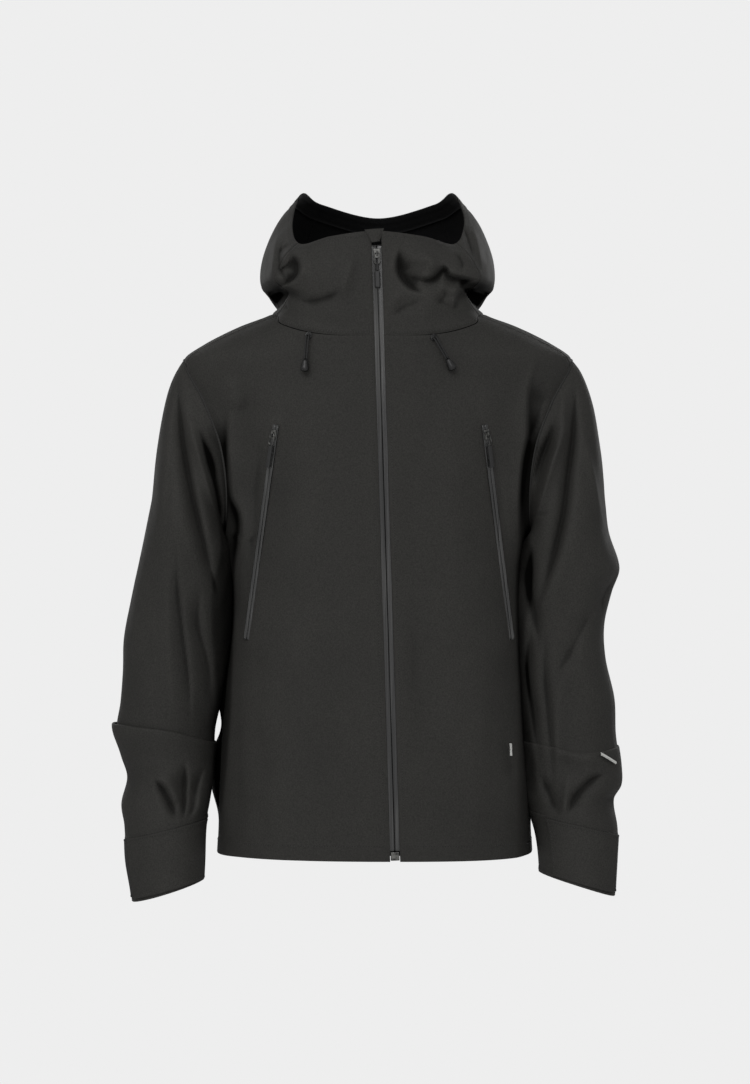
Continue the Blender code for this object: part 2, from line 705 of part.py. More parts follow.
def zip_garage(fabric, home):
    """The folded flap that the slider parks under, at the top of the collar."""
    top = zip_point(0.0985)
    flap = block("zip_garage", (0.022, 0.0016, 0.0150), fabric, home)
    flap.matrix_world = frame_at(top, zip_point(0.1) - zip_point(0.0), Vector((0, -1, 0)))
    flap.location.y -= 0.0030


# --- drawcords ----------------------------------------------------------------------------
def eyelet_frame(side, label):
    """On the front surface at an eyelet, with -Y facing out of the fabric and -Z along the cords."""
    x, z, swing = EYELETS[label]
    reach = 0.004
    across = surface_at(x + reach, z) - surface_at(x - reach, z)
    up = surface_at(x, z) - surface_at(x, z - 8 * reach)
    turn = Vector((side, 1, 1))
    place = frame_at(lean(surface_at(x, z) * turn), up * turn, across.cross(up) * turn)
    return place @ Matrix.Rotation(math.radians(-side * swing), 4, "Y")


def cord_route(shift):
    """Out of the eyelet, over in a quarter turn, then down the front to the cord end."""
    bend = 0.0052
    turn = [(shift, -0.0012 - bend * math.sin(a), -bend + bend * math.cos(a))
            for a in steps(0.0, math.pi / 2, 5)]
    hang = [(shift * (1 - 0.2 * t), -0.0012 - bend, -bend - (CORD_LENGTH_Z - bend) * t)
            for t in steps(0.2, 1.0, 5)]
    return turn + hang


def drawcords(metal, webbing, plastic, home):
    for side, label in ((1, "left"), (-1, "right")):
        washer = turned(f"cord_eyelet_{label}",
                        [(0.0042, 0.0008), (0.0042, -0.0008), (0.0032, -0.0008), (0.0032, 0.0008)],
                        metal, home, sides=20)
        washer.location = (0, -0.0015, 0)
        washer.rotation_euler = (math.radians(90), 0, 0)
        holder = anchor(f"drawcord_frame_{label}", eyelet_frame(side, label), home)
        strands = [wire(f"drawcord_{label}_{number}", cord_route(shift), DRAWCORD_RADIUS, webbing, home)
                   for number, shift in ((1, -0.0015), (2, 0.0015))]
        bell = turned(f"cord_end_{label}",
                      [(0.0001, 0.0070), (0.0030, 0.0070), (0.0036, 0.0030), (0.0044, -0.0035),
                       (0.0040, -0.0062), (0.0025, -0.0070), (0.0001, -0.0070)], plastic, home)
        bell.location = (0, -0.0064, -CORD_LENGTH_Z - 0.0070 - TOUCH)
        carry(holder, washer, *strands, bell)


def main():
    clear_scene()
    jacket = collection("hardshell_jacket")
    helpers = collection("cutters", hidden=True)
    fabric = material("shell_fabric", (0.030, 0.030, 0.029), 0.62)
    lining = material("lining", (0.055, 0.055, 0.055), 0.75)
    tape_cloth = material("coated_zip_tape", (0.045, 0.045, 0.045), 0.35)
    webbing = material("cord", (0.012, 0.012, 0.012), 0.60)
    plastic = material("moulded_plastic", (0.015, 0.015, 0.015), 0.40)
    rubber = material("pull_rubber", (0.020, 0.020, 0.020), 0.50)
    metal = material("dark_metal", (0.110, 0.110, 0.110), 0.30, 0.9)
    hook = material("hook_and_loop", (0.008, 0.008, 0.008), 0.90)
    label_cloth = material("label_cloth", (0.450, 0.450, 0.450), 0.80)

    panels = torso_panels(fabric, jacket)
    sleeves(fabric, jacket)
    cuffs(fabric, hook, jacket)
    collar_and_hood(fabric, jacket)
    inner_trims(lining, webbing, label_cloth, jacket)
    hem_locks(plastic, jacket)
    pocket_bags(lining, panels, jacket, helpers)
    front_zip(tape_cloth, plastic, metal, jacket)
    for side, label in ((1, "left"), (-1, "right")):
        chest_zip(side, label, tape_cloth, jacket, helpers)
    pulls(metal, webbing, rubber, jacket, helpers)
    zip_garage(fabric, jacket)
    drawcords(metal, webbing, plastic, jacket)


main()
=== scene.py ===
"""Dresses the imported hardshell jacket: laminated panels with their folds, sewn seams and stitches,
a rolled hem and cuffs, coated zips with their sliders and pulls, drawcords and inner trims.

Frame: metres, +Z up, the front faces -Y and the wearer's left is +X. Theta runs round the body
from the centre front (0) over the wearer's left (90) to the centre back (180). Phi runs round an
armhole or sleeve from its top or outer side (0) over the back (90) to the front (270).
"""

import math

import bpy
import numpy as np
from mathutils import Matrix, Vector


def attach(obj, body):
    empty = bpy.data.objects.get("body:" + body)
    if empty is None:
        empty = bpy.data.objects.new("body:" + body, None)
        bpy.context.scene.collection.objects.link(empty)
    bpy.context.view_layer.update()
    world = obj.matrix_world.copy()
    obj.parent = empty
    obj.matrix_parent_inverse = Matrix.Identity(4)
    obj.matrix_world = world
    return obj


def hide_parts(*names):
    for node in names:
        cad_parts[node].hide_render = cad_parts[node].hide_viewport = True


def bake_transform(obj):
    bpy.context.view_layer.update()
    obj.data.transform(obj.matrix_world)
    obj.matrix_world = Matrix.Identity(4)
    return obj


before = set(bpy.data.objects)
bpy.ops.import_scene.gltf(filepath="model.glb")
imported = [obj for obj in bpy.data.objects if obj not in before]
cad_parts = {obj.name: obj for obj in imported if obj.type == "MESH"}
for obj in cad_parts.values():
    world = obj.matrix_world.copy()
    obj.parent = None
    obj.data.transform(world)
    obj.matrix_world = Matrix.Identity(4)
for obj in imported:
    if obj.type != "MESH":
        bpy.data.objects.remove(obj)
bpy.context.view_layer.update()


def metres(rows):
    """Rows of lengths written in millimetres."""
    return [metres(row) for row in rows] if isinstance(rows, tuple) else rows * 0.001


# --- the jacket's shape, as in its CAD ----------------------------------------------------
HEM_Z = -0.648
SUPERELLIPSE = ((-0.7, 2.5), (-0.34, 2.4), (-0.15, 2.2), (-0.045, 1.9), (0.04, 2))
FRONT_DEPTH = 0.105
FRONT_SLOPE = 0.0694
ZIP_TOP_Z = 0.088
ZIP_TOP_X = -0.0018
ZIP_DRIFT = 0.0301
ZIP_HALF_GAP = 0.006
# millimetres: (z, half width, depth of the back)
TORSO = metres((
    (-720, 199, 128), (-648, 194, 125), (-550, 189, 118), (-450, 182, 110), (-340, 175, 106),
    (-250, 187, 116), (-155, 210, 124), (-100, 228, 122), (-45, 238, 113), (-26, 214, 106),
    (-5, 172, 97), (12, 128, 88), (40, 100, 85)
))
NECK = (        # (theta, z)
    (-20, -0.019), (0, -0.021), (20, -0.019), (42, -0.006), (60, 0.006), (90, 0.012), (140, 0.028),
    (180, 0.036), (220, 0.028),
)
ARMHOLE_THETA, ARMHOLE_SPREAD = 92, 28
ARMHOLE_Z, ARMHOLE_RISE = -0.15, 0.105
ARMHOLE_FREE = 0.016    # how far from its seam the cloth starts to move freely
YOKE_Z = -0.055
YOKE_FRONT_THETA = (60, 80)
YOKE_BACK_DROP = 0.055
# millimetres: collar and hood, for each theta seven points above the neck seam, the last on the rim
COWL = {theta: metres(points) for theta, points in {
    0: ((0, -104.5, 3), (0, -103.5, 18), (0, -102.5, 36), (0, -101.3, 54), (0, -100.1, 71),
        (0, -98.8, 88), (0, -97.7, 105)),
    30: ((70, -98, 6), (70, -98.5, 20), (69, -100, 35), (68, -100.5, 50), (66, -98, 67),
        (61, -93, 85), (54, -88, 100)),
    60: ((112, -64, 18), (106, -64, 32), (115, -70, 40), (122, -73, 50), (117, -71, 64),
        (107, -67, 80), (94, -60, 93)),
    90: ((114, -8, 24), (106, -8, 38), (124, -11, 40), (141, -12, 49), (138, -10, 78),
        (124, -8, 106), (106, -6, 126)),
    120: ((117, 56, 14), (127, 58, 24), (135, 62, 35), (141, 64, 48), (138, 62, 85),
        (121, 55, 130), (94, 46, 165)),
    150: ((78, 108, 14), (90, 130, 2), (98, 152, 8), (101, 168, 40), (98, 168, 80),
        (88, 150, 122), (72, 120, 159)),
    180: ((0, 112, 10), (0, 142, -22), (0, 172, -32), (0, 200, 4), (0, 208, 50), (0, 196, 104),
        (0, 168, 146)),
}.items()}
COLLAR_THETA, HOOD_THETA, CROWN_THETA = 62, 112, 150
BRIM_V = 0.93
CHEST_TOP = np.array((0.125, -0.0985, -0.128))
CHEST_END = np.array((0.16, -0.0712, -0.387))
CHEST_DRAW = 0.028
CORD_LENGTH_Z = 0.031
EYELETS = {"left": (0.0657, -0.0235, 30), "right": (0.084, -0.0205, 4.6)}

# --- the sleeves as they hang -------------------------------------------------------------
# millimetres: (depth below the shoulders, centre y, half depth)
LIMB = metres((
    (220, 2, 83), (255, 3, 81), (340, 5, 72), (420, 6, 67), (500, 0, 62), (560, -15, 56),
    (615, -30, 52), (690, -48, 47), (720, -54, 45)
))
# millimetres: (depth below the shoulders, centre x, half width outwards, x of the inner side)
SLEEVES = {
    "right": metres((
        (220, 231.5, 47.8, 170), (255, 236.8, 49.7, 173), (340, 247.5, 57.5, 177),
        (385, 252.5, 61.5, 180), (430, 254.3, 61.2, 185), (465, 257.3, 61.2, 192),
        (497, 261, 62, 198.5), (530, 259.5, 56, 199), (556, 255.5, 51.5, 201),
        (588, 260, 53, 205.5), (613.5, 260, 48.5, 210.5), (656, 259.3, 46.3, 212),
        (695, 257, 41.5, 214), (720, 256, 40.5, 215)
    )),
    "left": metres((
        (220, 231.5, 47.8, 168), (255, 235, 48.2, 169), (300, 242.1, 55.1, 164),
        (330, 237.5, 50.5, 158.5), (370, 233.7, 45.7, 157), (410, 234.8, 46.8, 159),
        (460, 240.8, 51.8, 163), (505, 242, 52, 168), (545, 245.9, 52.9, 173),
        (566, 246.5, 51.5, 176.5), (583, 242, 46, 180), (619.6, 244.3, 47, 191.5),
        (650, 243.4, 46.1, 196), (690, 241.9, 44.6, 197.3), (720, 241.5, 44, 197.5)
    )),
}
# cosine of phi, depth of the elbow fold's lip, how far it stands out
LIP = {
    "right": ((-1, 0.514, 0.0015), (-0.6, 0.506, 0.002), (-0.1, 0.4975, 0.0032),
              (0.6, 0.4925, 0.0042), (1, 0.4905, 0.005)),
    "left": ((-1, 0.51, 0.0002), (-0.5, 0.516, 0.0002), (0, 0.522, 0.0003),
             (0.6, 0.522, 0.0006), (1, 0.518, 0.0008)),
}
# depth of the cuff's top and bottom, each with its slope outwards
CUFF = {"right": (0.6135, 0.0125, 0.692, 0.013), "left": (0.608, 0.0127, 0.684, 0.014)}
TAB_START, TAB_END = {"right": 196, "left": 226}, 334
SIDES = (("left", 1), ("right", -1))

# --- the folds, as tables -----------------------------------------------------------------
# millimetres: (height, width on the path's left, on its right, then x and z of the path's points)
OUT, BACK = np.array((0, -1, 0)), np.array((0, 1, 0))
FOLDS_TORSO = metres((
    (9, 14, 3, -180, -105, -179.5, -140, -179, -175, -176, -210, -165, -235, -164, -260, -170, -295,
     -174, -340),
    (-3.2, 18, 18, -168, -70, -162, -100, -159, -135, -160, -180),
    (3, 12, 12, -179, -65, -176, -110),
    (-3, 14, 14, -145, -140, -143, -210, -148, -280),
    (11, 2.5, 15, 196, -38, 186, -65, 180, -95, 179, -135, 172, -175, 169, -215, 170, -270, 164,
     -305),
    (-6, 15, 15, 201, -70, 193, -100, 186, -145),
    (2.2, 25, 25, 90, -60, 85, -180, 95, -320),
    (2.2, 25, 25, -90, -60, -85, -180, -95, -320),
    (-2.5, 26, 26, 45, -300, 50, -430, 62, -560),
    (-2.5, 26, 26, -65, -310, -60, -440, -70, -580),
    (-4.5, 12, 8, 150, -500, 158, -530, 162, -560),
    (3, 16, 24, 128, -420, 118, -520, 114, -640),
    (3, 24, 16, -135, -420, -124, -520, -120, -640),
    (-2, 14, 16, -148, -480, -135, -520, -130, -570),
))
FOLDS_SLEEVE = {
    "right": metres((
        (3, 4, 15, -249, -90, -254, -150, -259, -213, -261, -280),
        (-15, 6, 8.5, -245, -60, -243, -90, -237, -145, -229, -195, -216, -253, -206, -295, -196,
         -335),
        (8, 10, 5, -234, -110, -226, -135, -211, -185, -196, -235),
        (-17, 8, 22, -220, -125, -207, -170, -195, -225, -188, -280),
        (-6, 3, 10, -245, -270, -242, -330, -236, -390, -230, -440, -226, -490),
        (-7, 6, 10, -215, -320, -220, -365, -208, -420, -202, -470),
        (3, 15, 6, -256, -300, -254, -390, -246, -480),
        (-11, 3, 11, -233, -533, -234, -560, -235, -610),
        (-11, 7, 4, -274, -552, -262, -568, -252, -586, -243, -608),
        (6, 6, 10, -280, -554, -256, -560, -244, -576, -238, -600),
        (-8, 4, 8, -209, -540, -220, -565, -226, -595, -233, -612),
        (4, 8, 8, -215, -570, -217, -600),
    )),
    "left": metres((
        (5, 6, 10, 220, -60, 224, -95, 223, -130),
        (-15, 8, 10, 214, -115, 209, -140, 195, -175, 183, -205, 174, -230),
        (8, 6, 10, 227, -100, 224, -135, 210, -175, 198, -215, 188, -250),
        (-15, 6, 10, 240, -70, 240, -105, 237, -145, 230, -195, 224, -240, 217, -275, 205, -315,
         193, -345),
        (4.5, 3, 8, 249, -125, 264, -195, 279, -260),
        (7, 18, 5, 231, -225, 222, -270, 209, -315, 196, -355),
        (-8, 5, 8, 188, -270, 186, -320, 192, -360, 196, -400),
        (-2, 1.2, 1.2, 177, -243, 187, -238, 199, -235, 212, -233),
        (-7, 5, 9, 296, -305, 275.8, -335.3, 274.6, -363.1),
        (-5, 9, 12, 272, -335, 250, -370, 228, -410, 210, -440),
        (-6, 5, 5, 188, -360, 183, -420, 190, -480, 196, -540),
        (-5, 4, 6, 202, -370, 204, -450, 210, -520, 213, -570),
        (4, 6, 20, 220, -430, 215, -500, 216, -550),
        (6, 7, 11, 216, -525, 245, -529, 276, -532),
        (-9, 8, 5, 280, -548, 260, -556, 240, -575, 228, -600),
        (6, 5, 5, 230, -550, 226, -580, 222, -608),
        (-6, 5, 8, 196, -550, 208, -575, 218, -600),
    )),
}
FOLDS_BACK = metres((
    (4, 28, 22, -180, -130, -145, -210, -125, -310, -120, -440),
    (-3.5, 22, 28, -178, -190, -160, -290, -155, -400, -160, -560),
    (4, 22, 28, 180, -140, 150, -230, 130, -340, 128, -480),
    (-3.5, 28, 22, 178, -210, 162, -320, 158, -430, 162, -580),
    (3, 45, 40, -60, -140, -65, -320, -60, -660),
    (3, 40, 45, 70, -130, 75, -350, 70, -660),
))
FOLDS_ARM_BACK = {
    "right": metres((
        (-6, 8, 13, -225, -140, -240, -220, -248, -310),
        (4.5, 12, 12, -210, -170, -220, -250, -220, -350),
        (-4.5, 9, 15, -195, -390, -230, -405, -270, -395, -300, -370),
        (-3.2, 14, 9, -195, -440, -240, -460, -290, -445),
        (-3.5, 8, 11, -235, -530, -245, -565, -242, -610),
    )),
    "left": metres((
        (-6, 13, 8, 230, -150, 238, -210, 235, -290),
        (4.5, 12, 12, 250, -180, 262, -260, 260, -340),
        (-4.5, 9, 15, 175, -350, 210, -375, 260, -380, 290, -360),
        (-3.2, 9, 14, 180, -415, 220, -435, 270, -425),
        (-3.5, 11, 8, 270, -535, 260, -575, 245, -610),
    )),
}
FOLDS_HOOD_BACK = metres((
    (-6, 15, 18, -125, 70, -60, 25, 0, 10, 70, 25),
    (5, 18, 18, -110, 95, -40, 60, 30, 55, 105, 85),
    (-5, 16, 15, 120, 75, 85, 45, 20, 35),
))
FOLDS_COWL = metres((
    (-17, 2.2, 17, -106.4, 79.4, -99.9, 72.9, -97.1, 64.1, -97.9, 54.4, -105.6, 46.3, -117.6, 39.9),
    (5, 6, 3, -89.8, 78.5, -91.4, 58.4, -95.4, 42.4),
    (-5, 4, 9, -96.9, 23.6, -83.7, 21.2, -69.7, 22.8, -55.7, 27.6, -43.6, 34.8),
    (-6, 3, 5, -119, 35.1, -116.6, 25.1, -107.7, 10.2),
    (4, 6, 10, -29.6, 73.6, -34.4, 57.6, -40.8, 36.8, -38.4, 21.6),
    (-18, 17, 2.2, 26.5, 83.3, 24.1, 68.4, 25.7, 54.4, 32.1, 44.4, 42.5, 35.2, 55.3, 29.5),
    (6, 6, 10, 52.6, 80.9, 63.5, 68.9, 73.1, 56.8),
    (-15, 2.2, 11, 38.7, 51.2, 54.8, 46.3, 66.9, 48.8, 75, 56.8, 80.6, 60, 87.1, 51.2, 104, 48.8,
     123.3, 47.2),
    (7, 3, 8, 96.5, 43.2, 93.3, 27.1, 90.9, 12.6),
    (-4.5, 7, 6, 85.1, 37.9, 79.5, 26.7, 70.7, 13.9),
    (-2.8, 8, 8, 10.4, -2.9, 26.4, 9.9, 46.5, 19.6, 60.9, 22),
    (3, 6, 6, 6.4, 13.8, 22.4, 25, 34.4, 26.6),
    (-4, 3, 5, -119.5, 81.1, -113.9, 88.3, -106.6, 93.2),
    (-5, 5, 3, 91.3, 81.1, 100.2, 71, 102.7, 56.8),
    (6, 3, 5, -123.3, 118.3, -125.7, 93.8, -126.9, 69.4, -128.1, 48.7),
    (-6, 3, 3.5, -115.9, 99.9, -118.4, 78, -117.2, 60.9, -109.8, 47.4),
    (-4, 4, 4, -131.8, 99.9, -134.2, 73.1, -135.5, 51.1),
    (4.5, 3, 4, -108.6, 87.7, -108.6, 65.8),
    (6, 5, 3, 112.4, 130.5, 119.7, 106, 124.6, 81.6, 127, 60.9),
    (-5, 3.5, 3.5, 102.6, 121.9, 112.4, 93.8, 117.3, 68.2),
    (-4, 3, 5, 131.9, 99.9, 133.2, 69.4),
))


# millimetres: (depth below the shoulders, x of the edge beyond which the cloth is painted in shade)
BODY_EDGE = {
    "right": metres((
        (105, 180), (175, 179), (210, 176), (235, 166), (260, 165), (295, 170), (340, 172),
        (500, 176), (620, 188)
    )),
    "left": metres((
        (65, 186), (95, 180), (135, 179), (175, 172), (215, 169), (270, 170), (305, 164),
        (400, 165), (500, 172), (620, 183)
    )),
}
# millimetres: (depth below the shoulders, x of the sleeve's edge inside which the cloth is painted in
# shade)
ARM_EDGE = {
    "right": metres((
        (118, 226.5), (145, 215), (193, 201), (241, 193), (283, 194), (325, 203), (385, 204),
        (457, 199), (500, 202), (560, 202), (610, 206)
    )),
    "left": metres((
        (100, 165), (140, 195), (170, 192), (207, 178), (235, 176), (285, 190), (345, 185),
        (385, 180), (450, 185), (530, 192), (610, 200)
    )),
}


# --- curves and surfaces, for whole arrays at a time --------------------------------------
def smooth(rows, at):
    """The rows' values at each key, on a smooth curve through every row."""
    rows = np.asarray(rows, float)
    keys, values = rows[:, 0], rows[:, 1:]
    count = np.arange(len(keys))
    low, high = np.maximum(count - 1, 0), np.minimum(count + 1, len(keys) - 1)
    slopes = (values[high] - values[low]) / (keys[high] - keys[low])[:, None]
    at = np.clip(at, keys[0], keys[-1])
    i = np.clip(np.searchsorted(keys, at) - 1, 0, len(keys) - 2)
    step = (keys[i + 1] - keys[i])[..., None]
    t = (at - keys[i])[..., None] / step
    h01 = t * t * (3 - 2 * t)
    ends = (1 - h01) * values[i] + h01 * values[i + 1]
    return ends + step * (t * (1 - t) ** 2 * slopes[i] - t * t * (1 - t) * slopes[i + 1])


def rise(low, high, value):
    """0 below low, 1 above high, and smooth between them."""
    t = np.clip((value - low) / (high - low), 0, 1)
    return t * t * (3 - 2 * t)


def unit(vectors):
    return vectors / np.maximum(np.linalg.norm(vectors, axis=-1, keepdims=True), 1e-12)


def join(*parts):
    return np.stack(np.broadcast_arrays(*parts), -1)


def cosine(angle):
    return np.cos(np.radians(angle))


def sine(angle):
    return np.sin(np.radians(angle))


def zip_x(z):
    return ZIP_TOP_X + ZIP_DRIFT * (ZIP_TOP_Z - z)


def front_depth(z):
    return FRONT_DEPTH - FRONT_SLOPE * z


def zip_point(z):
    return Vector((zip_x(z), -front_depth(z), z))


def lean(points):
    share = np.clip(-points[..., 1] / front_depth(points[..., 2]), 0, 1)
    return points + join(zip_x(points[..., 2]) * share ** 4, 0, 0)


def torso(theta, z):
    theta, z = np.broadcast_arrays(theta, z)
    half_width, back_depth = np.moveaxis(smooth(TORSO, z), -1, 0)
    power = 2 / smooth(SUPERELLIPSE, z)[..., 0]
    across, along = sine(theta), cosine(theta)
    depth = np.where(along > 0, front_depth(z), back_depth)
    return join(half_width * np.sign(across) * np.abs(across) ** power,
        -depth * np.sign(along) * np.abs(along) ** power, z)


def neck_z(theta):
    return smooth(NECK, 180 - np.abs(180 - np.mod(theta, 360)))[..., 0]


def armhole(phi):
    return ARMHOLE_THETA + ARMHOLE_SPREAD * sine(phi), ARMHOLE_Z + ARMHOLE_RISE * cosine(phi)


def armhole_reach(z):
    return ARMHOLE_SPREAD * np.sqrt(np.maximum(0, 1 - ((z - ARMHOLE_Z) / ARMHOLE_RISE) ** 2))


def surface_at(x, z):
    half_width = smooth(TORSO, z)[..., 0]
    power = smooth(SUPERELLIPSE, z)[..., 0]
    return torso(np.degrees(np.arcsin(np.minimum(1, x / half_width) ** (power / 2))), z)


def drawn_to_zip(points):
    share = (CHEST_TOP[2] - points[..., 2]) / (CHEST_TOP[2] - CHEST_END[2])
    beyond = np.maximum(0, np.maximum(-share, share - 1)) * 4
    line = CHEST_TOP + (CHEST_END - CHEST_TOP) * np.clip(share, 0, 1)[..., None]
    off = (points[..., 0] - line[..., 0]) / CHEST_DRAW
    weight = np.exp(-off * off) * np.maximum(0, 1 - beyond * beyond) ** 2
    depth = surface_at(line[..., 0], points[..., 2])[..., 1]
    return points + join(0, weight * (line[..., 1] - depth), 0)


def front_panel(u, v):
    z = HEM_Z + (neck_z(YOKE_FRONT_THETA[0] * u) - HEM_Z) * v
    edge_z = HEM_Z + (neck_z(YOKE_FRONT_THETA[0]) - HEM_Z) * v
    half_width, power = smooth(TORSO, z)[..., 0], smooth(SUPERELLIPSE, z)[..., 0] / 2
    inner = np.degrees(np.arcsin((ZIP_HALF_GAP / half_width) ** power))
    low, high = YOKE_FRONT_THETA
    yoke_edge = low + (high - low) * (neck_z(low) - edge_z) / (neck_z(low) - YOKE_Z)
    outer = np.where(edge_z > YOKE_Z, yoke_edge, ARMHOLE_THETA - armhole_reach(edge_z))
    return drawn_to_zip(torso(inner + (outer - inner) * u, z))


def back_panel(u, v):
    u = 2 * u - 1
    top = YOKE_Z - YOKE_BACK_DROP * (1 - u * u)
    edge_z = HEM_Z + (YOKE_Z - HEM_Z) * v
    reach = 180 - ARMHOLE_THETA - armhole_reach(edge_z)
    return torso(180 + reach * u, HEM_Z + (top - HEM_Z) * v)


def yoke(u, v):
    u = 2 * u - 1
    side, edge_front = np.abs(u), 0.8
    neck_theta = 180 - (180 - YOKE_FRONT_THETA[0]) * side
    theta_arm, z_arm = armhole(24.8 * (1 - 2 * (side - edge_front) / (1 - edge_front)))
    theta = np.where(side > edge_front, theta_arm, 180 - (180 - armhole(24.8)[0]) * side / edge_front)
    z = np.where(side > edge_front, z_arm, YOKE_Z - YOKE_BACK_DROP * (1 - (side / edge_front) ** 2))
    theta = theta + (neck_theta - theta) * v
    return torso(np.where(u < 0, theta, 360 - theta), z + (neck_z(neck_theta) - z) * v)


def cowl(theta, v):
    """The collar and hood: theta round the neck, v from the neck seam (0) to the rim (1)."""
    theta, v = np.broadcast_arrays(theta, v)
    around = np.mod(theta, 360)
    side = 180 - np.abs(180 - around)
    rows = np.array([(key, *np.ravel(points)) for key, points in COWL.items()])
    count = rows.shape[1] // 3
    turned = rows * ([1] + [-1, 1, 1] * count)
    turned[:, 0] = [-rows[k, 0] if k < 3 else 360 - rows[k, 0] for k in range(len(rows))]
    knots = smooth(np.vstack([turned[1], rows, turned[-2]]), side).reshape(*side.shape, count, 3)
    knots = np.concatenate([torso(side, neck_z(side))[..., None, :], knots], -2)
    slopes = np.gradient(knots, axis=-2)
    i = np.clip(np.ceil(v * count).astype(int) - 1, 0, count - 1)[..., None, None]
    t = np.clip(v, 0, 1)[..., None] * count - i[..., 0]
    low, high = (np.take_along_axis(knots, i + k, -2)[..., 0, :] for k in (0, 1))
    leave, arrive = (np.take_along_axis(slopes, i + k, -2)[..., 0, :] for k in (0, 1))
    h01 = t * t * (3 - 2 * t)
    found = (1 - h01) * low + h01 * high + t * (1 - t) ** 2 * leave - t * t * (1 - t) * arrive
    return found * join(np.where(around > 180, -1, 1), 1, 1)


def collar(u, v):
    start = ZIP_HALF_GAP / cowl(1.0, v)[..., 0]
    return cowl(start + (COLLAR_THETA - start) * u, v)


def limb(label, phi, z, reach=0):
    """The sleeve's surface on the wearer's left, at a height, moved outwards by reach."""
    centre_x, half_width, inner_x = np.moveaxis(smooth(SLEEVES[label], -z), -1, 0)
    centre_y, half_depth = np.moveaxis(smooth(LIMB, -z), -1, 0)
    across = np.where(cosine(phi) > 0, half_width, centre_x - inner_x)
    x, y = centre_x + (across + reach) * cosine(phi), centre_y + (half_depth + reach) * sine(phi)
    return join(x, y, z)


def cap_end(phi):
    return -0.255 + 0.035 * cosine(phi)


def sleeve_cap(label, phi, t):
    start, end = torso(*armhole(phi)), limb(label, phi, cap_end(phi))
    leave = join(0.06 + 0.04 * cosine(phi), 0.03 * sine(phi), -0.07 - 0.02 * cosine(phi))
    arrive = (limb(label, phi, cap_end(phi) - 0.01) - end) * 9
    h01, t = (t * t * (3 - 2 * t))[..., None], t[..., None]
    return (1 - h01) * start + h01 * end + t * (1 - t) ** 2 * leave - t * t * (1 - t) * arrive


def lip(label, phi):
    """Height of the elbow fold's lip, and how far it stands out from the sleeve."""
    depth, stand = np.moveaxis(smooth(LIP[label], cosine(phi)), -1, 0)
    return -depth, stand


def upper_sleeve(label):
    def surface(u, v):
        phi, share = 360 * u, 0.38
        end = lip(label, phi)[0] - 0.014
        z = cap_end(phi) + (end - cap_end(phi)) * np.clip((v - share) / (1 - share), 0, 1)
        cap, arm = sleeve_cap(label, phi, np.clip(v / share, 0, 1)), limb(label, phi, z)
        return np.where((v < share)[..., None], cap, arm)
    return surface


def lower_sleeve(label):
    """From inside the upper sleeve's end up over the lip of the elbow fold, and down to the cuff."""
    def surface(u, v):
        phi, roll, start = 360 * u, 0.0016, 0.1
        top, stand = lip(label, phi)
        low = -CUFF[label][0] - CUFF[label][1] * cosine(phi) - 0.003
        turn = np.clip((v - 0.5 * start) / (0.5 * start), 0, 1) * math.pi
        inside = np.clip(1 - v / (0.5 * start), 0, 1) * 0.011
        down = np.clip((v - start) / (1 - start), 0, 1)
        z = top - roll - inside + (low - top + roll) * down + roll * np.sin(turn)
        fade = 1 - rise(0, 0.3, down)
        reach = stand * fade + 0.0012 - roll * (1 + np.cos(turn)) * (v < start)
        return limb(label, phi, z, reach)
    return surface


# --- meshes -------------------------------------------------------------------------------
EDGE = np.array([0, 0.0006, 0.0013, 0.0022, 0.0036])      # where rows lie near a seam or hem
RIDGE, RIDGE_AT, RIDGE_WIDTH = 0.00025, 0.0042, 0.0022      # the allowance felt beside a seam
GROOVE, GROOVE_WIDTH = 0.0007, 0.001                        # the seam itself
HEM_LIFT, HEM_EXTRA, HEM_STEP = 0.0004, 0.0009, 0.0012      # where a hem is folded double
STITCH_PITCH, STITCH_LENGTH, THREAD_RADIUS = 0.0033, 0.0025, 0.00032
HOLLOW_ROUNDS = ((5, 0.001), (26, 0.0026), (110, 0.005))    # smoothing rounds, depth of a full hollow
HOLLOW_GAIN, HOLLOW_LIMIT = 0.4, 0.75
CLOTH, INNER, THREAD = 0, 1, 2
ALL_EDGES = ("low_u", "high_u", "low_v", "high_v")


def spread(lengths, pitch, low, high):
    """Parameter values from 0 to 1 along strips this long, closer together at the edges that
    are sewn or hemmed. One row for each length."""
    low_edge, high_edge = (EDGE * near / lengths[:, None] for near in (low, high))
    inner = np.linspace(0, 1, max(6, int(lengths.max() / pitch)))
    start, end = low_edge[:, -1:], 1 - high_edge[:, -1:]
    parts = [low_edge[:, :-1]] * low + [start + (end - start) * inner] + [1
        - high_edge[:, -2::-1]] * high
    return np.concatenate(parts, 1)


def grid(surface, pitch, sewn):
    """The surface's points in rows and columns, with each point's distance from the edges named
    in sewn: "low_u", "high_u", "low_v", "high_v"."""
    t = np.linspace(0, 1, 33)
    coarse = surface(*np.meshgrid(t, t))
    wide = np.linalg.norm(np.diff(coarse, axis=1), axis=2).sum(1) + 1e-5
    tall = np.linalg.norm(np.diff(coarse, axis=0), axis=2).sum(0) + 1e-5
    columns = spread(wide, pitch, "low_u" in sewn, "high_u" in sewn)
    rows = spread(tall, pitch, "low_v" in sewn, "high_v" in sewn)
    v_at, u_at = rows[16], columns[16]
    us = np.stack([np.interp(v_at, t, column) for column in columns.T], 1)
    vs = np.stack([np.interp(u_at, t, row) for row in rows.T], 0)
    width, height = np.interp(vs, t, wide), np.interp(us, t, tall)
    reach = {"low_u": us * width, "high_u": (1 - us) * width, "low_v": vs * height,
        "high_v": (1 - vs) * height}
    flat = np.stack([(us - 0.5) * width.mean(), vs * height.mean()], -1)
    return surface(us, vs), reach, flat


def normals_of(points, wrap, flip):
    if wrap:
        ahead = np.roll(points, -1, 1) - np.roll(points, 1, 1)
    else:
        ahead = np.gradient(points, axis=1)
    normals = unit(np.cross(ahead, np.gradient(points, axis=0)))
    return -normals if flip else normals


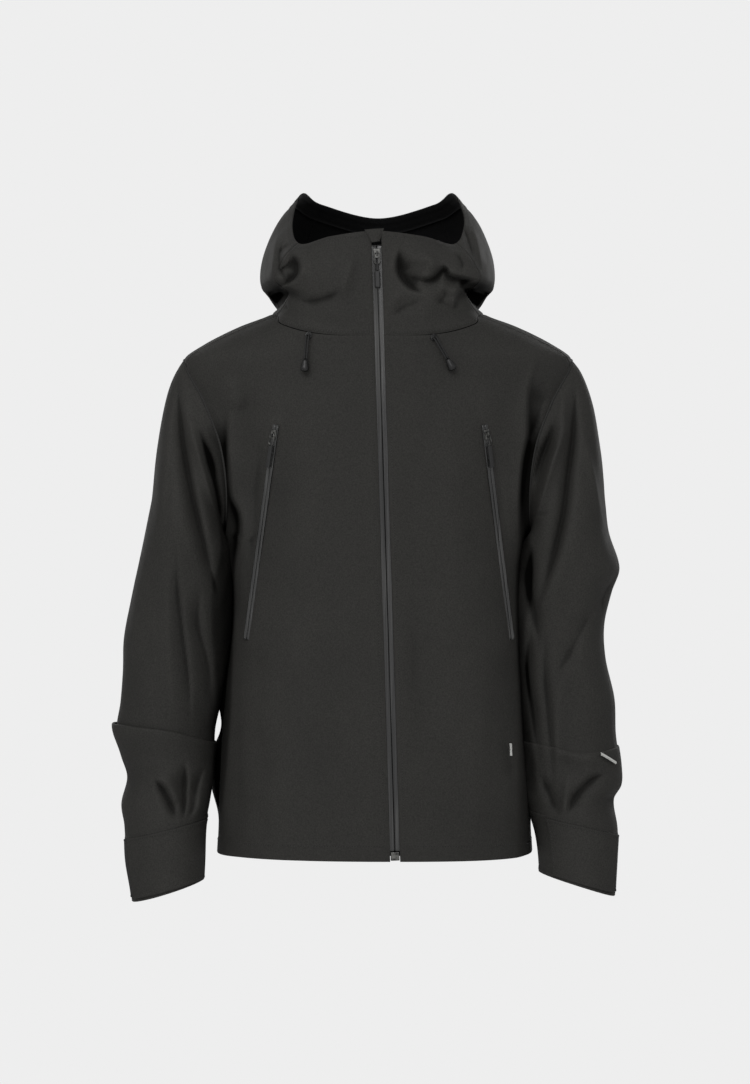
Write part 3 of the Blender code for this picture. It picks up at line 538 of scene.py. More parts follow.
def hollows(points, normals, wrap):
    """How far each point lies below (above 0) or over (below 0) the cloth around it, used for painted
    shade and highlight.
    """
    found = np.zeros(points.shape[:2])
    flat, done = points, 0
    for rounds, depth in HOLLOW_ROUNDS:
        for _ in range(rounds - done):
            if wrap:
                flat = (flat + (np.roll(flat, 1, 1) + np.roll(flat, -1, 1)) / 2) / 2
            else:
                middle = (flat[:, 1:-1] * 2 + flat[:, :-2] + flat[:, 2:]) / 4
                flat = np.concatenate([flat[:, :1], middle, flat[:, -1:]], 1)
            flat = np.concatenate([flat[:1], (flat[1:-1] * 2 + flat[:-2] + flat[2:]) / 4, flat[-1:]])
        done = rounds
        found += np.tanh(((flat - points) * normals).sum(-1) / depth) * HOLLOW_GAIN
    return np.tanh(found / HOLLOW_LIMIT) * HOLLOW_LIMIT


def quads(rows, columns, wrap):
    a = np.arange(rows - 1)[:, None] * columns + np.arange(columns if wrap else columns - 1)
    b = a - a % columns + (a + 1) % columns
    return np.stack([a, b, b + columns, a + columns], -1).reshape(-1, 4)


def rim_of(rows, columns, wrap):
    """The grid's border as pairs of neighbours, so that each rim face looks outwards."""
    index = np.arange(rows * columns).reshape(rows, columns)
    runs = [index[0, ::-1], index[-1]]
    if wrap:
        runs = [np.append(run, run[0]) for run in runs]
    else:
        runs += [index[:, 0], index[::-1, -1]]
    return np.concatenate([np.stack([run[:-1], run[1:]], 1) for run in runs])


def mesh_object(name, points, faces, kinds, flat, finishes, hollow=None):
    """A mesh from faces of four corners, or three where the last corner repeats."""
    mesh = bpy.data.meshes.new(name)
    three = faces[:, 2] == faces[:, 3]
    sizes = np.where(three, 3, 4)
    corners = faces[np.arange(4) < sizes[:, None]]
    mesh.vertices.add(len(points))
    mesh.vertices.foreach_set("co", points.astype(np.float32).ravel())
    mesh.loops.add(len(corners))
    mesh.loops.foreach_set("vertex_index", corners.astype(np.int32))
    mesh.polygons.add(len(faces))
    mesh.polygons.foreach_set("loop_start", np.r_[0, np.cumsum(sizes)[:-1]].astype(np.int32))
    mesh.polygons.foreach_set("material_index", kinds.astype(np.int32))
    mesh.update(calc_edges=True)
    layer = mesh.uv_layers.new(name="flat")
    layer.data.foreach_set("uv", flat[corners].astype(np.float32).ravel())
    # The hollow attribute carries painted shade into the cloth's colour.
    if hollow is not None:
        layer = mesh.attributes.new("hollow", "FLOAT", "POINT")
        layer.data.foreach_set("value", hollow.astype(np.float32))
    for finish in finishes:
        mesh.materials.append(finish)
    mesh.shade_smooth()
    obj = bpy.data.objects.new(name, mesh)
    bpy.context.scene.collection.objects.link(obj)
    return obj


def lengths_along(line):
    """How far along a line of points each of them is."""
    return np.r_[0, np.cumsum(np.linalg.norm(np.diff(line, axis=0), axis=1))]


def stitching(line, normals):
    """A row of thread stitches, each a small spindle lying on the cloth."""
    along, half, radius = lengths_along(line), STITCH_LENGTH / 2, THREAD_RADIUS
    at = np.arange(STITCH_PITCH, along[-1] - STITCH_PITCH, STITCH_PITCH)
    found = lambda values, where: np.stack([np.interp(where, along, column) for column in values.T], 1)
    middle, ahead = found(line, at), unit(found(line, at + half) - found(line, at - half))
    up = unit(found(normals, at))
    side, sunk = np.cross(ahead, up), up * radius * 0.8
    corners = [middle - ahead * half - sunk, middle + side * radius, middle + up * radius,
        middle - side * radius, middle - up * radius, middle + ahead * half - sunk]
    points = np.stack(corners, 1).reshape(-1, 3)
    ring = ((1, 2), (2, 3), (3, 4), (4, 1))
    faces = np.array([(0, b, a, a) for a, b in ring] + [(5, a, b, b) for a, b in ring])
    return points, (np.arange(len(middle))[:, None, None] * 6 + faces).reshape(-1, 4)


def cloth(name, surface, finishes, pitch=0.003, sewn=(), hems=(), stitch=(), side=1, wrap=False,
          flip=False, thick=0.001, shape=None, hem_depth=0.02, shade=None):
    """A panel of laminate: its outer face, its lining, the rim, and rows of stitches.

    sewn edges are drawn in to the seam they share with the next panel; hems are rolled. stitch
    holds (edge, distance) pairs. shape moves the points, as the folds do, and shade is a painted-shade
    mask: how far the cloth lies in a hollow that other pieces make. Added to the cloth's own hollows,
    it darkens the colour there."""
    points, reach, flat = grid(surface, pitch, (*sewn, *hems))
    points = lean(points * (side, 1, 1))
    if wrap:
        points, flat = points[:, :-1], flat[:, :-1]
        reach = {key: value[:, :-1] for key, value in reach.items()}
    if shape:
        points = shape(points)
    flip = flip != (side < 0)
    normals = normals_of(points, wrap, flip)
    # The cloth's own hollows and the painted-shade mask together set how much shade is painted into its
    # colour.
    hollow = hollows(points, normals, wrap) + (shade(points) if shade else 0)
    lift = np.zeros(points.shape[:2])
    if sewn:
        near = np.min([reach[edge] for edge in sewn], 0)
        lift += RIDGE * np.exp(-((near - RIDGE_AT) / RIDGE_WIDTH) ** 2)
        lift -= GROOVE * np.exp(-(near / GROOVE_WIDTH) ** 2)
    width = np.full(points.shape[:2], thick)
    for edge in hems:
        doubled = 1 - rise(hem_depth, hem_depth + HEM_STEP, reach[edge])
        lift += HEM_LIFT * doubled
        width = width + HEM_EXTRA * doubled
    for edge in hems:
        round_off = np.clip(1 - reach[edge] / (width / 2), 0, 1)
        lift -= width / 2 * (1 - np.sqrt(1 - round_off ** 2))
        width = width * np.maximum(0.04, np.sqrt(1 - round_off ** 2))
    outer = points + normals * lift[..., None]
    inner = outer - normals * width[..., None]
    rows, columns = outer.shape[:2]
    faces = quads(rows, columns, wrap)
    total = rows * columns
    rim = rim_of(rows, columns, wrap)
    rim_faces = np.stack([rim[:, 0], rim[:, 1], rim[:, 1] + total, rim[:, 0] + total], 1)
    layers = [faces, (faces + total)[:, ::-1], rim_faces[:, ::-1]]
    if flip:
        layers = [layer[:, ::-1] for layer in layers]
    verts = [outer.reshape(-1, 3), inner.reshape(-1, 3)]
    uvs = [flat.reshape(-1, 2)] * 2
    kinds = [np.full(len(layers[0]), CLOTH), np.full(len(layers[1]), INNER),
        np.full(len(layers[2]), CLOTH)]
    shown = normals_of(outer, wrap, flip)
    for edge, distance in stitch:
        line, up = (row_at(layer, reach[edge], edge, distance) for layer in (outer, shown))
        if wrap:
            line, up = np.vstack([line, line[:1]]), np.vstack([up, up[:1]])
        found, sewing = stitching(line + up * 0.0001, up)
        layers.append(sewing + sum(map(len, verts)))
        verts.append(found)
        uvs.append(found[:, ::2])
        kinds.append(np.full(len(sewing), THREAD))
    hollow = np.concatenate([hollow.ravel(), np.zeros(sum(map(len, verts)) - total)])
    return mesh_object(name, np.concatenate(verts), np.concatenate(layers), np.concatenate(kinds),
        np.concatenate(uvs), finishes, hollow)


def row_at(values, reach, edge, distance):
    """The values along a line at a distance from one edge of the grid."""
    if edge.endswith("u"):
        values, reach = values.transpose(1, 0, 2), reach.T
    if edge.startswith("high"):
        values, reach = values[::-1], reach[::-1]
    k = np.clip((reach < distance).sum(0), 1, len(reach) - 1)
    across = np.arange(reach.shape[1])
    low, high = reach[k - 1, across], reach[k, across]
    t = np.clip((distance - low) / np.maximum(high - low, 1e-9), 0, 1)[:, None]
    return values[k - 1, across] * (1 - t) + values[k, across] * t


# --- how the cloth moves, and where it lies in shade --------------------------------------
def refined(path):
    """A smooth line through the path's points, with the share of its length at each."""
    length = lengths_along(path)
    if len(path) > 2:
        at = np.linspace(0, length[-1], 4 * len(path))
        path, length = smooth(np.column_stack([length, path]), at), at
    return path, length / length[-1]


FADE_IN, FADE_OUT = (-0.05, 0.38), (0.64, 1.04)     # shares of a fold's length


def fold(points, push, height, left, right, *path):
    """One ridge or hollow along a path in x and z, fading out towards its ends."""
    line, share = refined(np.reshape(path, (-1, 2)))
    spot = points[..., ::2]
    best = np.full(points.shape[:-1], 1e9)
    where, turn = np.zeros_like(best), np.zeros_like(best)
    for a, b, low, high in zip(line[:-1], line[1:], share[:-1], share[1:]):
        run = b - a
        t = np.clip(((spot - a) @ run) / (run @ run), 0, 1)
        off = spot - a - t[..., None] * run
        squared = (off ** 2).sum(-1)
        nearer = squared < best
        best = np.where(nearer, squared, best)
        where = np.where(nearer, low + (high - low) * t, where)
        turn = np.where(nearer, run[0] * off[..., 1] - run[1] * off[..., 0], turn)
    fade = rise(*FADE_IN, where) * (1 - rise(*FADE_OUT, where))
    width = np.where(turn > 0, left, right) * (0.5 + 0.5 * fade)
    sharp = 0.68 + 0.32 * rise(0.009, 0.015, min(left, right))
    crest = np.exp(0.01 ** sharp - (best / width ** 2 + 0.01) ** sharp)
    return (height * crest * fade)[..., None] * push


def folded(points, push, folds):
    return sum((fold(points, push, *each) for each in folds), np.zeros_like(points))


WAVES = np.random.default_rng(7)
DIRECTIONS = unit(WAVES.normal(size=(48, 3)))
PHASES = WAVES.uniform(0, 2 * math.pi, 48)


def waves(points, size, first):
    """A slow random swell, about -1 to 1, whose waves are about this long."""
    total, pitch, count = np.zeros(points.shape[:-1]), 2 * math.pi / size, 6
    for k in range(first, first + count):
        total += np.sin(points @ DIRECTIONS[k] * pitch * (0.7 + 0.1 * (k - first)) + PHASES[k])
    return total / math.sqrt(count)


def swell(points, centre_x, centre_y, amount):
    """Gentle unevenness of hanging cloth, along the way out from a vertical line."""
    away = unit(join(points[..., 0] - centre_x, points[..., 1] - centre_y, 0))
    stretched = points * (1, 1, 0.45)
    height = 0.6 * waves(stretched, 0.16, 0) + 0.3 * waves(stretched, 0.07, 8)
    height = height + 0.12 * waves(points, 0.03, 16)
    creases = np.abs(waves(stretched, 0.11, 24)) ** 0.7
    return away * (amount * (height - 0.5 * creases))[..., None]


def armhole_distance(points):
    """How far each point is from the nearer armhole seam."""
    ring = lean(torso(*armhole(np.linspace(0, 360, 97))))
    nearest = np.full(points.shape[:-1], 1e9)
    for mirror in (1, -1):
        for spot in ring * (mirror, 1, 1):
            nearest = np.minimum(nearest, ((points - spot) ** 2).sum(-1))
    return np.sqrt(nearest)


def zip_hold(points):
    off = np.abs(points[..., 0] - zip_x(points[..., 2]))
    return np.where(points[..., 1] < 0, rise(0.006, 0.03, off), 1)


def neck_hold(points):
    theta = np.mod(np.degrees(np.arctan2(points[..., 0] / 0.13, -points[..., 1] / 0.1)), 360)
    return rise(0, 0.014, np.abs(points[..., 2] - neck_z(theta)))


def hold_below(points):
    """The body leans to its right under the arms, and the back of the hem flares."""
    x, y, z = np.moveaxis(points, -1, 0)
    leaning = -0.006 * rise(0.19, 0.31, -z) + 0.002 * rise(0.5, 0.65, -z)
    gap = 1 - 0.7 * np.exp(-((z + 0.495) / 0.022) ** 2) * (x < 0)
    flare = np.sign(x) * 0.015 * rise(0.15, 0.2, -z) * rise(-0.02, 0.03,
        y) * gap * (1 - rise(0.56, 0.62, -z))
    return join((leaning + flare) * rise(0.166, 0.186, np.abs(x)), 0, 0)


def chest_hold(points):
    """0 along the chest zips, rising to 1 a little away from them."""
    x, y, z = np.moveaxis(points, -1, 0)
    hold = 1
    for side in (1, -1):
        (top_x, _, top_z), (end_x, _, end_z) = lean(np.array([CHEST_TOP, CHEST_END]) * (side, 1, 1))
        off = np.abs(x - (top_x + (end_x - top_x) * np.clip((z - top_z) / (end_z - top_z), 0, 1)))
        beside = rise(0, 0.02, top_z + 0.024 - z) * rise(0, 0.02, z - end_z + 0.024) * (y < 0)
        hold = hold * (1 - beside * (1 - rise(0.004, 0.016, off)))
    return hold


def torso_shape(points):
    seam, neck = armhole_distance(points), neck_hold(points)
    armhole_hold = rise(0, ARMHOLE_FREE, seam)
    hold = armhole_hold * zip_hold(points) * chest_hold(points)
    front, back = rise(0.01, 0.05, -points[..., 1]), rise(0.02, 0.07, points[..., 1])
    moved = folded(points, OUT, FOLDS_TORSO) * (hold * front)[..., None]
    moved = moved + folded(points, BACK, FOLDS_BACK) * (armhole_hold * back)[..., None]
    hang = hold_below(points) * rise(0, 0.012, seam)[..., None]
    uneven = swell(points, 0, 0, 0.0009) * (hold * neck)[..., None]
    return points + moved * neck[..., None] + uneven + hang


def sleeve_shape(label):
    mirror = 1 if label == "left" else -1

    def shape(points):
        depth = -points[..., 2]
        centre_y, half_depth = np.moveaxis(smooth(LIMB, depth), -1, 0)
        centre_x = smooth(SLEEVES[label], depth)[..., 0] * mirror
        front = rise(-0.05, 0.45, (centre_y - points[..., 1]) / half_depth)
        hold = rise(0, ARMHOLE_FREE, armhole_distance(points))
        cuff = rise(0, 0.02, CUFF[label][0] - depth)
        back = rise(0.1, 0.6, (points[..., 1] - centre_y) / half_depth)
        moved = folded(points, OUT, FOLDS_SLEEVE[label]) * front[..., None]
        moved = moved + folded(points, BACK, FOLDS_ARM_BACK[label]) * back[..., None]
        return points + (moved + swell(points, centre_x, centre_y, 0.0016)) * (hold * cuff)[..., None]

    return shape


def cowl_shape(points):
    front = 1 - rise(-0.03, 0.03, points[..., 1])
    hold = zip_hold(points) * neck_hold(points)
    moved = folded(points, OUT, FOLDS_COWL) * front[..., None]
    moved = moved + folded(points, BACK, FOLDS_HOOD_BACK) * rise(0.06, 0.13, points[..., 1])[..., None]
    return points + moved * hold[..., None] + swell(points, 0, 0.03, 0.0012) * hold[..., None]


# Painted shade: each mask below darkens the cloth's colour where other pieces shade it.
COWL_SHADE, TORSO_SHADE, SLEEVE_SHADE = 1.05, 0.92, 0.95    # added to the hollows there


def cowl_shade(points):
    """Painted shade on the underside of the hood's roll, over the shoulders."""
    x, y, z = np.moveaxis(points, -1, 0)
    right = 0.113 + 0.9 * np.maximum(0, 0.036 - z)
    left = 0.095 + 1.6 * np.maximum(0, 0.038 - z)
    beyond = rise(0, 0.008, np.abs(x) - np.where(x < 0, right, left))
    lip = np.where(x < 0, 0.0455, 0.049) - 0.25 * np.maximum(0, y - 0.03)
    return COWL_SHADE * beyond * (1 - rise(-0.006, 0.001, z - lip)) * (1 - rise(0.04, 0.09, y))


def torso_shade(points):
    """Painted shade on the body's sides, beyond the fold that hangs beside each arm."""
    x, y, z = np.moveaxis(points, -1, 0)
    edges = [smooth(BODY_EDGE[label], -z)[..., 0] for label in ("right", "left")]
    beyond = rise(-0.001, 0.007, np.where(x < 0, -x - edges[0], x - edges[1]))
    return TORSO_SHADE * beyond * (1 - rise(0.02, 0.08, y)) * rise(0.1, 0.16,
        -z) * (1 - rise(0.58, 0.645, -z))


# Painted shade on each sleeve's inner side, next to the body, at the front.
def sleeve_shade(label):
    mirror = 1 if label == "left" else -1

    def shade(points):
        x, y, z = points[..., 0] * mirror, points[..., 1], points[..., 2]
        near = 1 - rise(-0.006, 0.006, x - smooth(ARM_EDGE[label], -z)[..., 0])
        near = near * rise(0.1, 0.15, -z) * (1 - rise(0.55, 0.61, -z))
        return SLEEVE_SHADE * near * (1 - rise(0, 0.06, y))

    return shade


# --- materials ----------------------------------------------------------------------------
WAVE = 0.314        # a wave texture's scale for bands that are 1 m apart


def node(tree, kind, inputs=(), **settings):
    made = tree.nodes.new("ShaderNode" + kind)
    for key, value in settings.items():
        setattr(made, key, value)
    for socket, value in dict(inputs).items():
        if isinstance(value, bpy.types.NodeSocket):
            tree.links.new(value, made.inputs[socket])
        else:
            made.inputs[socket].default_value = value
    return made


def shades(tree, factor, dark, pale, low=0.35, high=0.65):
    """A ramp between two colours, each of which is three numbers or one grey."""
    ramp = node(tree, "ValToRGB", {"Fac": factor})
    for spot, place, colour in zip(ramp.color_ramp.elements, (low, high), (dark, pale)):
        spot.position = place
        spot.color = (*colour, 1) if isinstance(colour, tuple) else (colour, colour, colour, 1)
    return ramp.outputs["Color"]


def noise(tree, place, scale, detail, roughness=0.5):
    inputs = {"Vector": place, "Scale": scale, "Detail": detail, "Roughness": roughness}
    return node(tree, "TexNoise", inputs).outputs["Fac"]


def ranged(tree, value, low, high, start, end):
    return node(tree, "MapRange", {"Value": value, 1: low, 2: high, 3: start, 4: end}).outputs[0]


def mapped(tree, vector, **settings):
    return node(tree, "Mapping", {"Vector": vector, **settings}).outputs[0]


def combined(tree, first, second, operation):
    return node(tree, "Math", {0: first, 1: second}, operation=operation).outputs[0]


def darkened(tree, colour, by):
    inputs = {0: 1, 6: colour, 7: by}
    return node(tree, "Mix", inputs, data_type="RGBA", blend_type="MULTIPLY").outputs[2]


def relief(tree, strength, distance, height, **below):
    inputs = {"Strength": strength, "Distance": distance, "Height": height, **below}
    return node(tree, "Bump", inputs).outputs["Normal"]


def coordinates(tree):
    """Where a point is on its object, and on the flat cloth."""
    return node(tree, "TexCoord").outputs["Object"], node(tree, "UVMap", uv_map="flat").outputs["UV"]


def feed(shader, **sources):
    """Links outputs to the shader's sockets, named with _ for a space."""
    for socket, source in sources.items():
        shader.id_data.links.new(source, shader.inputs[socket.replace("_", " ")])


def finish(name, roughness, metallic=0, **extra):
    made = bpy.data.materials.new(name)
    made.use_nodes = True
    shader = made.node_tree.nodes["Principled BSDF"]
    for socket, value in {"Roughness": roughness, "Metallic": metallic, **extra}.items():
        shader.inputs[socket].default_value = value
    return made, made.node_tree, shader


def weave(tree, flat, pitch):
    """The height of a plain weave, from threads that run both ways along the cloth."""
    inputs = {"Vector": flat, "Scale": WAVE / pitch, "Distortion": 0.4, "Detail": 1, "Detail Scale": 2}
    bands = [node(tree, "TexWave", inputs, bands_direction=way).outputs["Fac"] for way in "XY"]
    return combined(tree, *bands, "MULTIPLY")


def shell_finish():
    """Matt woven face: speckled yarn, a weave that can be felt, painted shade in hollows and highlight on
    ridges.
    """
    made, tree, shader = finish("laminate", 0.72)
    place, flat = coordinates(tree)
    speckle, broad = noise(tree, place, 620, 3, 0.7), noise(tree, place, 9, 4, 0.55)
    yarn = shades(tree, speckle, (0.0222, 0.0216, 0.0198), (0.037, 0.036, 0.0332))
    tone = shades(tree, broad, 0.86, 1.1, 0.3, 0.7)
    hollow = node(tree, "Attribute", attribute_name="hollow").outputs["Fac"]
    # Painted shade: the hollow attribute multiplies the colour, down to a tenth in deep hollows and
    # shaded sides, and up by a quarter on raised folds as a painted highlight.
    painted_shade_ramp = node(tree, "ValToRGB", {"Fac": ranged(tree, hollow, -1, 1, 0, 1)})
    ramp = painted_shade_ramp.color_ramp.elements
    for share, value in ((0, 1.25), (0.42, 1.02), (0.56, 0.96), (0.88, 0.34), (1, 0.1)):
        spot = ramp[0] if share == 0 else ramp[-1] if share == 1 else ramp.new(share)
        spot.position, spot.color = share, (value, value, value, 1)
    weft = combined(tree, weave(tree, flat, 0.0006), speckle, "ADD")
    grain = relief(tree, 0.35, 0.00012, weft)
    # Where the painted shade is deepest, the reflection is turned off as well.
    feed(shader, Base_Color=darkened(tree, darkened(tree, yarn, tone), painted_shade_ramp.outputs["Color"]),
        Specular_IOR_Level=ranged(tree, hollow, 0.2, 1, 0.2, 0), Roughness=ranged(tree, broad, 0.3, 0.7,
        0.66, 0.78), Normal=relief(tree, 0.25, 0.001, noise(tree, place, 55, 5, 0.6), Normal=grain))
    return made


def grained(name, dark, pale, scale, roughness, bump, metallic=0, **extra):
    """A finish with fine grain in its colour and its surface."""
    made, tree, shader = finish(name, roughness, metallic, **extra)
    grain = noise(tree, node(tree, "TexCoord").outputs["Object"], scale, 4)
    feed(shader, Base_Color=shades(tree, grain, dark, pale), Roughness=ranged(tree, grain, 0.3, 0.7,
        roughness * 0.8, roughness * 1.2), Normal=relief(tree, 0.5, bump, grain))
    return made


def braided(name, dark, pale, pitch):
    """Yarns that cross each other slantwise round a cord or along a webbing."""
    made, tree, shader = finish(name, 0.62, **{"Specular IOR Level": 0.3})
    flat = coordinates(tree)[1]
    both = [node(tree, "TexWave", {"Vector": mapped(tree, flat, Rotation=(0, 0, angle)),
        "Scale": WAVE / pitch}).outputs["Fac"] for angle in (0.6, -0.6)]
    height = combined(tree, *both, "MAXIMUM")
    feed(shader, Base_Color=shades(tree, height, dark, pale, 0.2, 0.9),
        Normal=relief(tree, 0.7, 0.0002, height))
    return made


def coated(name):
    """The zips' film: a smooth coat over tape, its colour streaked lighter along its length as a painted
    highlight.
    """
    made, tree, shader = finish(name, 0.24, **{"Coat Weight": 0.5, "Coat Roughness": 0.16})
    place, flat = coordinates(tree)
    streak = noise(tree, mapped(tree, place, Scale=(900, 40, 9)), 1, 3)
    broad = noise(tree, mapped(tree, place, Scale=(20, 1, 5)), 1, 2)
    ribs = node(tree, "TexWave", {"Vector": flat, "Scale": WAVE / 0.0011},
        bands_direction="Y").outputs["Fac"]
    # Painted highlight: the lighter streaks stand in for the gloss's reflections.
    mottled = combined(tree, streak, broad, "MULTIPLY")
    feed(shader, Base_Color=shades(tree, mottled, 0.012, (0.075, 0.075, 0.073), 0.18, 0.4),
        Roughness=ranged(tree, streak, 0.3, 0.7, 0.18, 0.34), Normal=relief(tree, 0.18, 0.00012,
        combined(tree, ribs, streak, "ADD")))
    return made


SHELL_CLOTH = shell_finish()
LINING = grained("lining_knit", (0.0045, 0.0045, 0.0048), (0.013, 0.013, 0.0135), 900, 0.85, 0.0002,
    **{"Specular IOR Level": 0.2})
SEAM_TAPE = grained("seam_tape", (0.012, 0.012, 0.011), (0.021, 0.021, 0.019), 800, 0.8, 0.0001)
STITCH = grained("thread", 0.01, 0.022, 1500, 0.55, 0.0001)
TAPE_CLOTH = coated("zip_film")
METAL = grained("grained_metal", 0.05, (0.19, 0.19, 0.18), 260, 0.38, 0.00004, 1)
DARK_METAL = grained("blackened_metal", 0.018, 0.06, 240, 0.34, 0.00004, 0.8)
PLASTIC = grained("moulded_plastic", 0.003, 0.009, 420, 0.4, 0.00006)
RUBBER = grained("pull_rubber", 0.012, 0.021, 700, 0.55, 0.00008)
CORD = braided("braided_cord", 0.006, 0.022, 0.0009)
HOOK = grained("loop_pile", 0.003, 0.014, 1400, 0.95, 0.0006)
LABEL = grained("woven_label", (0.52, 0.52, 0.5), (0.66, 0.66, 0.64), 900, 0.7, 0.0001)
PANEL = [SHELL_CLOTH, LINING, STITCH]


# --- the sewn shell -----------------------------------------------------------------------
HEM_STITCH, SEAM_STITCH, RIM_STITCH = 0.018, 0.0028, 0.007  # distances from the edge
RIM_HEM = 0.008
LABEL_THICK, LABEL_HEM = 0.0006, 0.0004
HOOD_BLEND = ("torso", "hood", (0.0, 0.062, 0.047), (0.0, 0.136, 0.102))


def stands_for(obj, slot, body, *nodes):
    """Hides any CAD nodes the piece replaces and parents it to its body; given a pair of bodies,
    its transform is only baked. slot is not used.
    """
    if nodes:
        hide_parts(*nodes)
    if isinstance(body, str):
        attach(obj, body)
    else:
        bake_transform(obj)
    return obj


def elbow_blend(label, side):
    above, below = (side * 0.25, 0, -0.525), (side * 0.25, 0, -0.585)
    return f"sleeve_{label}", f"forearm_{label}", above, below


def torso_panels():
    for label, side in SIDES:
        panel = cloth(f"shell_front_{label}", front_panel, PANEL, sewn=("low_u", "high_u", "high_v"),
            hems=("low_v",), stitch=(("low_v", HEM_STITCH), ("low_u", 0.0032)), side=side,
            shape=torso_shape, shade=torso_shade)
        stands_for(panel, "shell_fabric", "torso", f"front_panel_{label}")
    back = cloth("shell_back", back_panel, PANEL, 0.0042, sewn=("low_u", "high_u", "high_v"),
        hems=("low_v",), stitch=(("low_v", HEM_STITCH),), shape=torso_shape, shade=torso_shade)
    stands_for(back, "shell_fabric", "torso", "back_panel")
    top = cloth("shell_yoke", yoke, PANEL, 0.0036, sewn=ALL_EDGES, stitch=(("low_v", SEAM_STITCH),),
        shape=torso_shape)
    stands_for(top, "shell_fabric", "torso", "shoulder_yoke")


def sleeve_panels():
    for label, side in SIDES:
        shoulder = ("torso", f"sleeve_{label}", (side * 0.236, 0.0, -0.052), (side * 0.3, 0.0, -0.0675))
        upper = cloth(f"shell_sleeve_upper_{label}", upper_sleeve(label), PANEL, sewn=("low_v",),
            stitch=(("low_v", SEAM_STITCH),), side=side, wrap=True, flip=True,
            shape=sleeve_shape(label), shade=sleeve_shade(label))
        stands_for(upper, "shell_fabric", shoulder, f"upper_sleeve_{label}")
        lower = cloth(f"shell_sleeve_lower_{label}", lower_sleeve(label), PANEL, 0.0026, side=side,
            wrap=True, flip=True, shape=sleeve_shape(label), shade=sleeve_shade(label))
        stands_for(lower, "shell_fabric", elbow_blend(label, side), f"forearm_sleeve_{label}")


def all_round(distance):
    """A hem and a row of stitches along every edge."""
    return {"hems": ALL_EDGES, "stitch": [(edge, distance) for edge in ALL_EDGES]}


def around_cuff(label, start, turn, reach, inset, corner=0):
    """A strip round the cuff from phi start; its far end has rounded corners."""
    def surface(u, v):
        phi = start + turn * u
        top, top_slope, low, low_slope = CUFF[label]
        top, low = -top - top_slope * cosine(phi) - inset, -low - low_slope * cosine(phi) + inset
        length = math.radians(abs(turn)) * 0.048
        near_end = np.clip(1 - (1 - u) * length / max(corner, 1e-6), 0, 1)
        shrink = 1 - (1 - np.sqrt(1 - near_end ** 2)) * 2 * corner / np.abs(top - low)
        z = (top + low) / 2 + (low - top) * (v - 0.5) * shrink
        return limb(label, phi, z, reach)
    return surface


def cuffs():
    for label, side in SIDES:
        band = cloth(f"cuff_band_{label}_look", around_cuff(label, 0, 360, 0.0012, 0), PANEL, 0.0026,
            hems=("high_v",), sewn=("low_v",), stitch=(("low_v", 0.003), ("high_v", 0.004)), side=side,
            wrap=True, flip=True, thick=0.0014, hem_depth=0.006)
        stands_for(band, "shell_fabric", f"forearm_{label}", f"cuff_band_{label}")
        start = TAB_START[label]
        strip = around_cuff(label, start, TAB_END - start, 0.0042, 0.0035, 0.006)
        tab = cloth(f"cuff_tab_{label}_look", strip, PANEL, 0.0024, **all_round(0.0035), side=side,
            flip=True, thick=0.0014, hem_depth=0.002)
        stands_for(tab, "shell_fabric", f"cuff_tab_{label}", f"cuff_tab_{label}")
        field = cloth(f"cuff_loop_field_{label}_look", around_cuff(label, 336, 68, 0.0026, 0.005),
            [HOOK, HOOK, STITCH], 0.0024, **all_round(0.002), side=side, flip=True, hem_depth=0.001)
        stands_for(field, "hook_and_loop", f"forearm_{label}", f"cuff_loop_field_{label}")


def between(surface, low_u, high_u, low_v, high_v):
    """The part of a surface between these limits."""
    return lambda u, v: surface(low_u + (high_u - low_u) * u, low_v + (high_v - low_v) * v)


def collar_and_hood():
    for label, side in SIDES:
        front = cloth(f"collar_{label}_look", collar, PANEL, 0.0022, sewn=("low_u", "high_u", "low_v"),
            hems=("high_v",), stitch=(("high_v", RIM_STITCH), ("low_v", SEAM_STITCH)), side=side,
            shape=cowl_shape, hem_depth=RIM_HEM, shade=cowl_shade)
        stands_for(front, "shell_fabric", HOOD_BLEND, f"collar_{label}")
        gusset = cloth(f"hood_gusset_{label}_look", between(cowl, COLLAR_THETA, HOOD_THETA, 0, 1),
            PANEL, 0.0024, sewn=("low_u", "high_u", "low_v"), hems=("high_v",),
            stitch=(("high_v", RIM_STITCH), ("low_u", SEAM_STITCH)), side=side, shape=cowl_shape,
            hem_depth=RIM_HEM, shade=cowl_shade)
        stands_for(gusset, "shell_fabric", HOOD_BLEND, f"hood_gusset_{label}")
        flank = cloth(f"hood_side_{label}_look", between(cowl, HOOD_THETA, CROWN_THETA, 0, BRIM_V),
            PANEL, 0.0028, sewn=ALL_EDGES, stitch=(("high_u", SEAM_STITCH),), side=side,
            shape=cowl_shape, shade=cowl_shade)
        stands_for(flank, "shell_fabric", HOOD_BLEND, f"hood_side_{label}")
    crown = cloth("hood_crown_look", between(cowl, CROWN_THETA, 360 - CROWN_THETA, 0, BRIM_V), PANEL,
        0.0034, sewn=ALL_EDGES, shape=cowl_shape)
    stands_for(crown, "shell_fabric", HOOD_BLEND, "hood_crown")
    brim = cloth("hood_brim_look", between(cowl, HOOD_THETA, 360 - HOOD_THETA, BRIM_V, 1), PANEL,
        0.0028, sewn=("low_u", "high_u", "low_v"), hems=("high_v",), stitch=(("low_v", SEAM_STITCH),),
        shape=cowl_shape, thick=0.0018, hem_depth=RIM_HEM)
    stands_for(brim, "shell_fabric", HOOD_BLEND, "hood_brim")


# --- trims inside the shell ---------------------------------------------------------------
def inside(surface, depth):
    """The surface moved along its own normal, into the jacket."""
    step = 1e-3

    def moved(u, v):
        along_u = surface(u + step, v) - surface(u - step, v)
        along_v = surface(u, v + step) - surface(u, v - step)
        return surface(u, v) - depth * unit(np.cross(along_u, along_v))

    return moved


def settled(amount, size, first):
    """Slight unevenness of a loose inner piece."""
    return lambda points: points + join(0, amount * waves(points, size, first), 0)


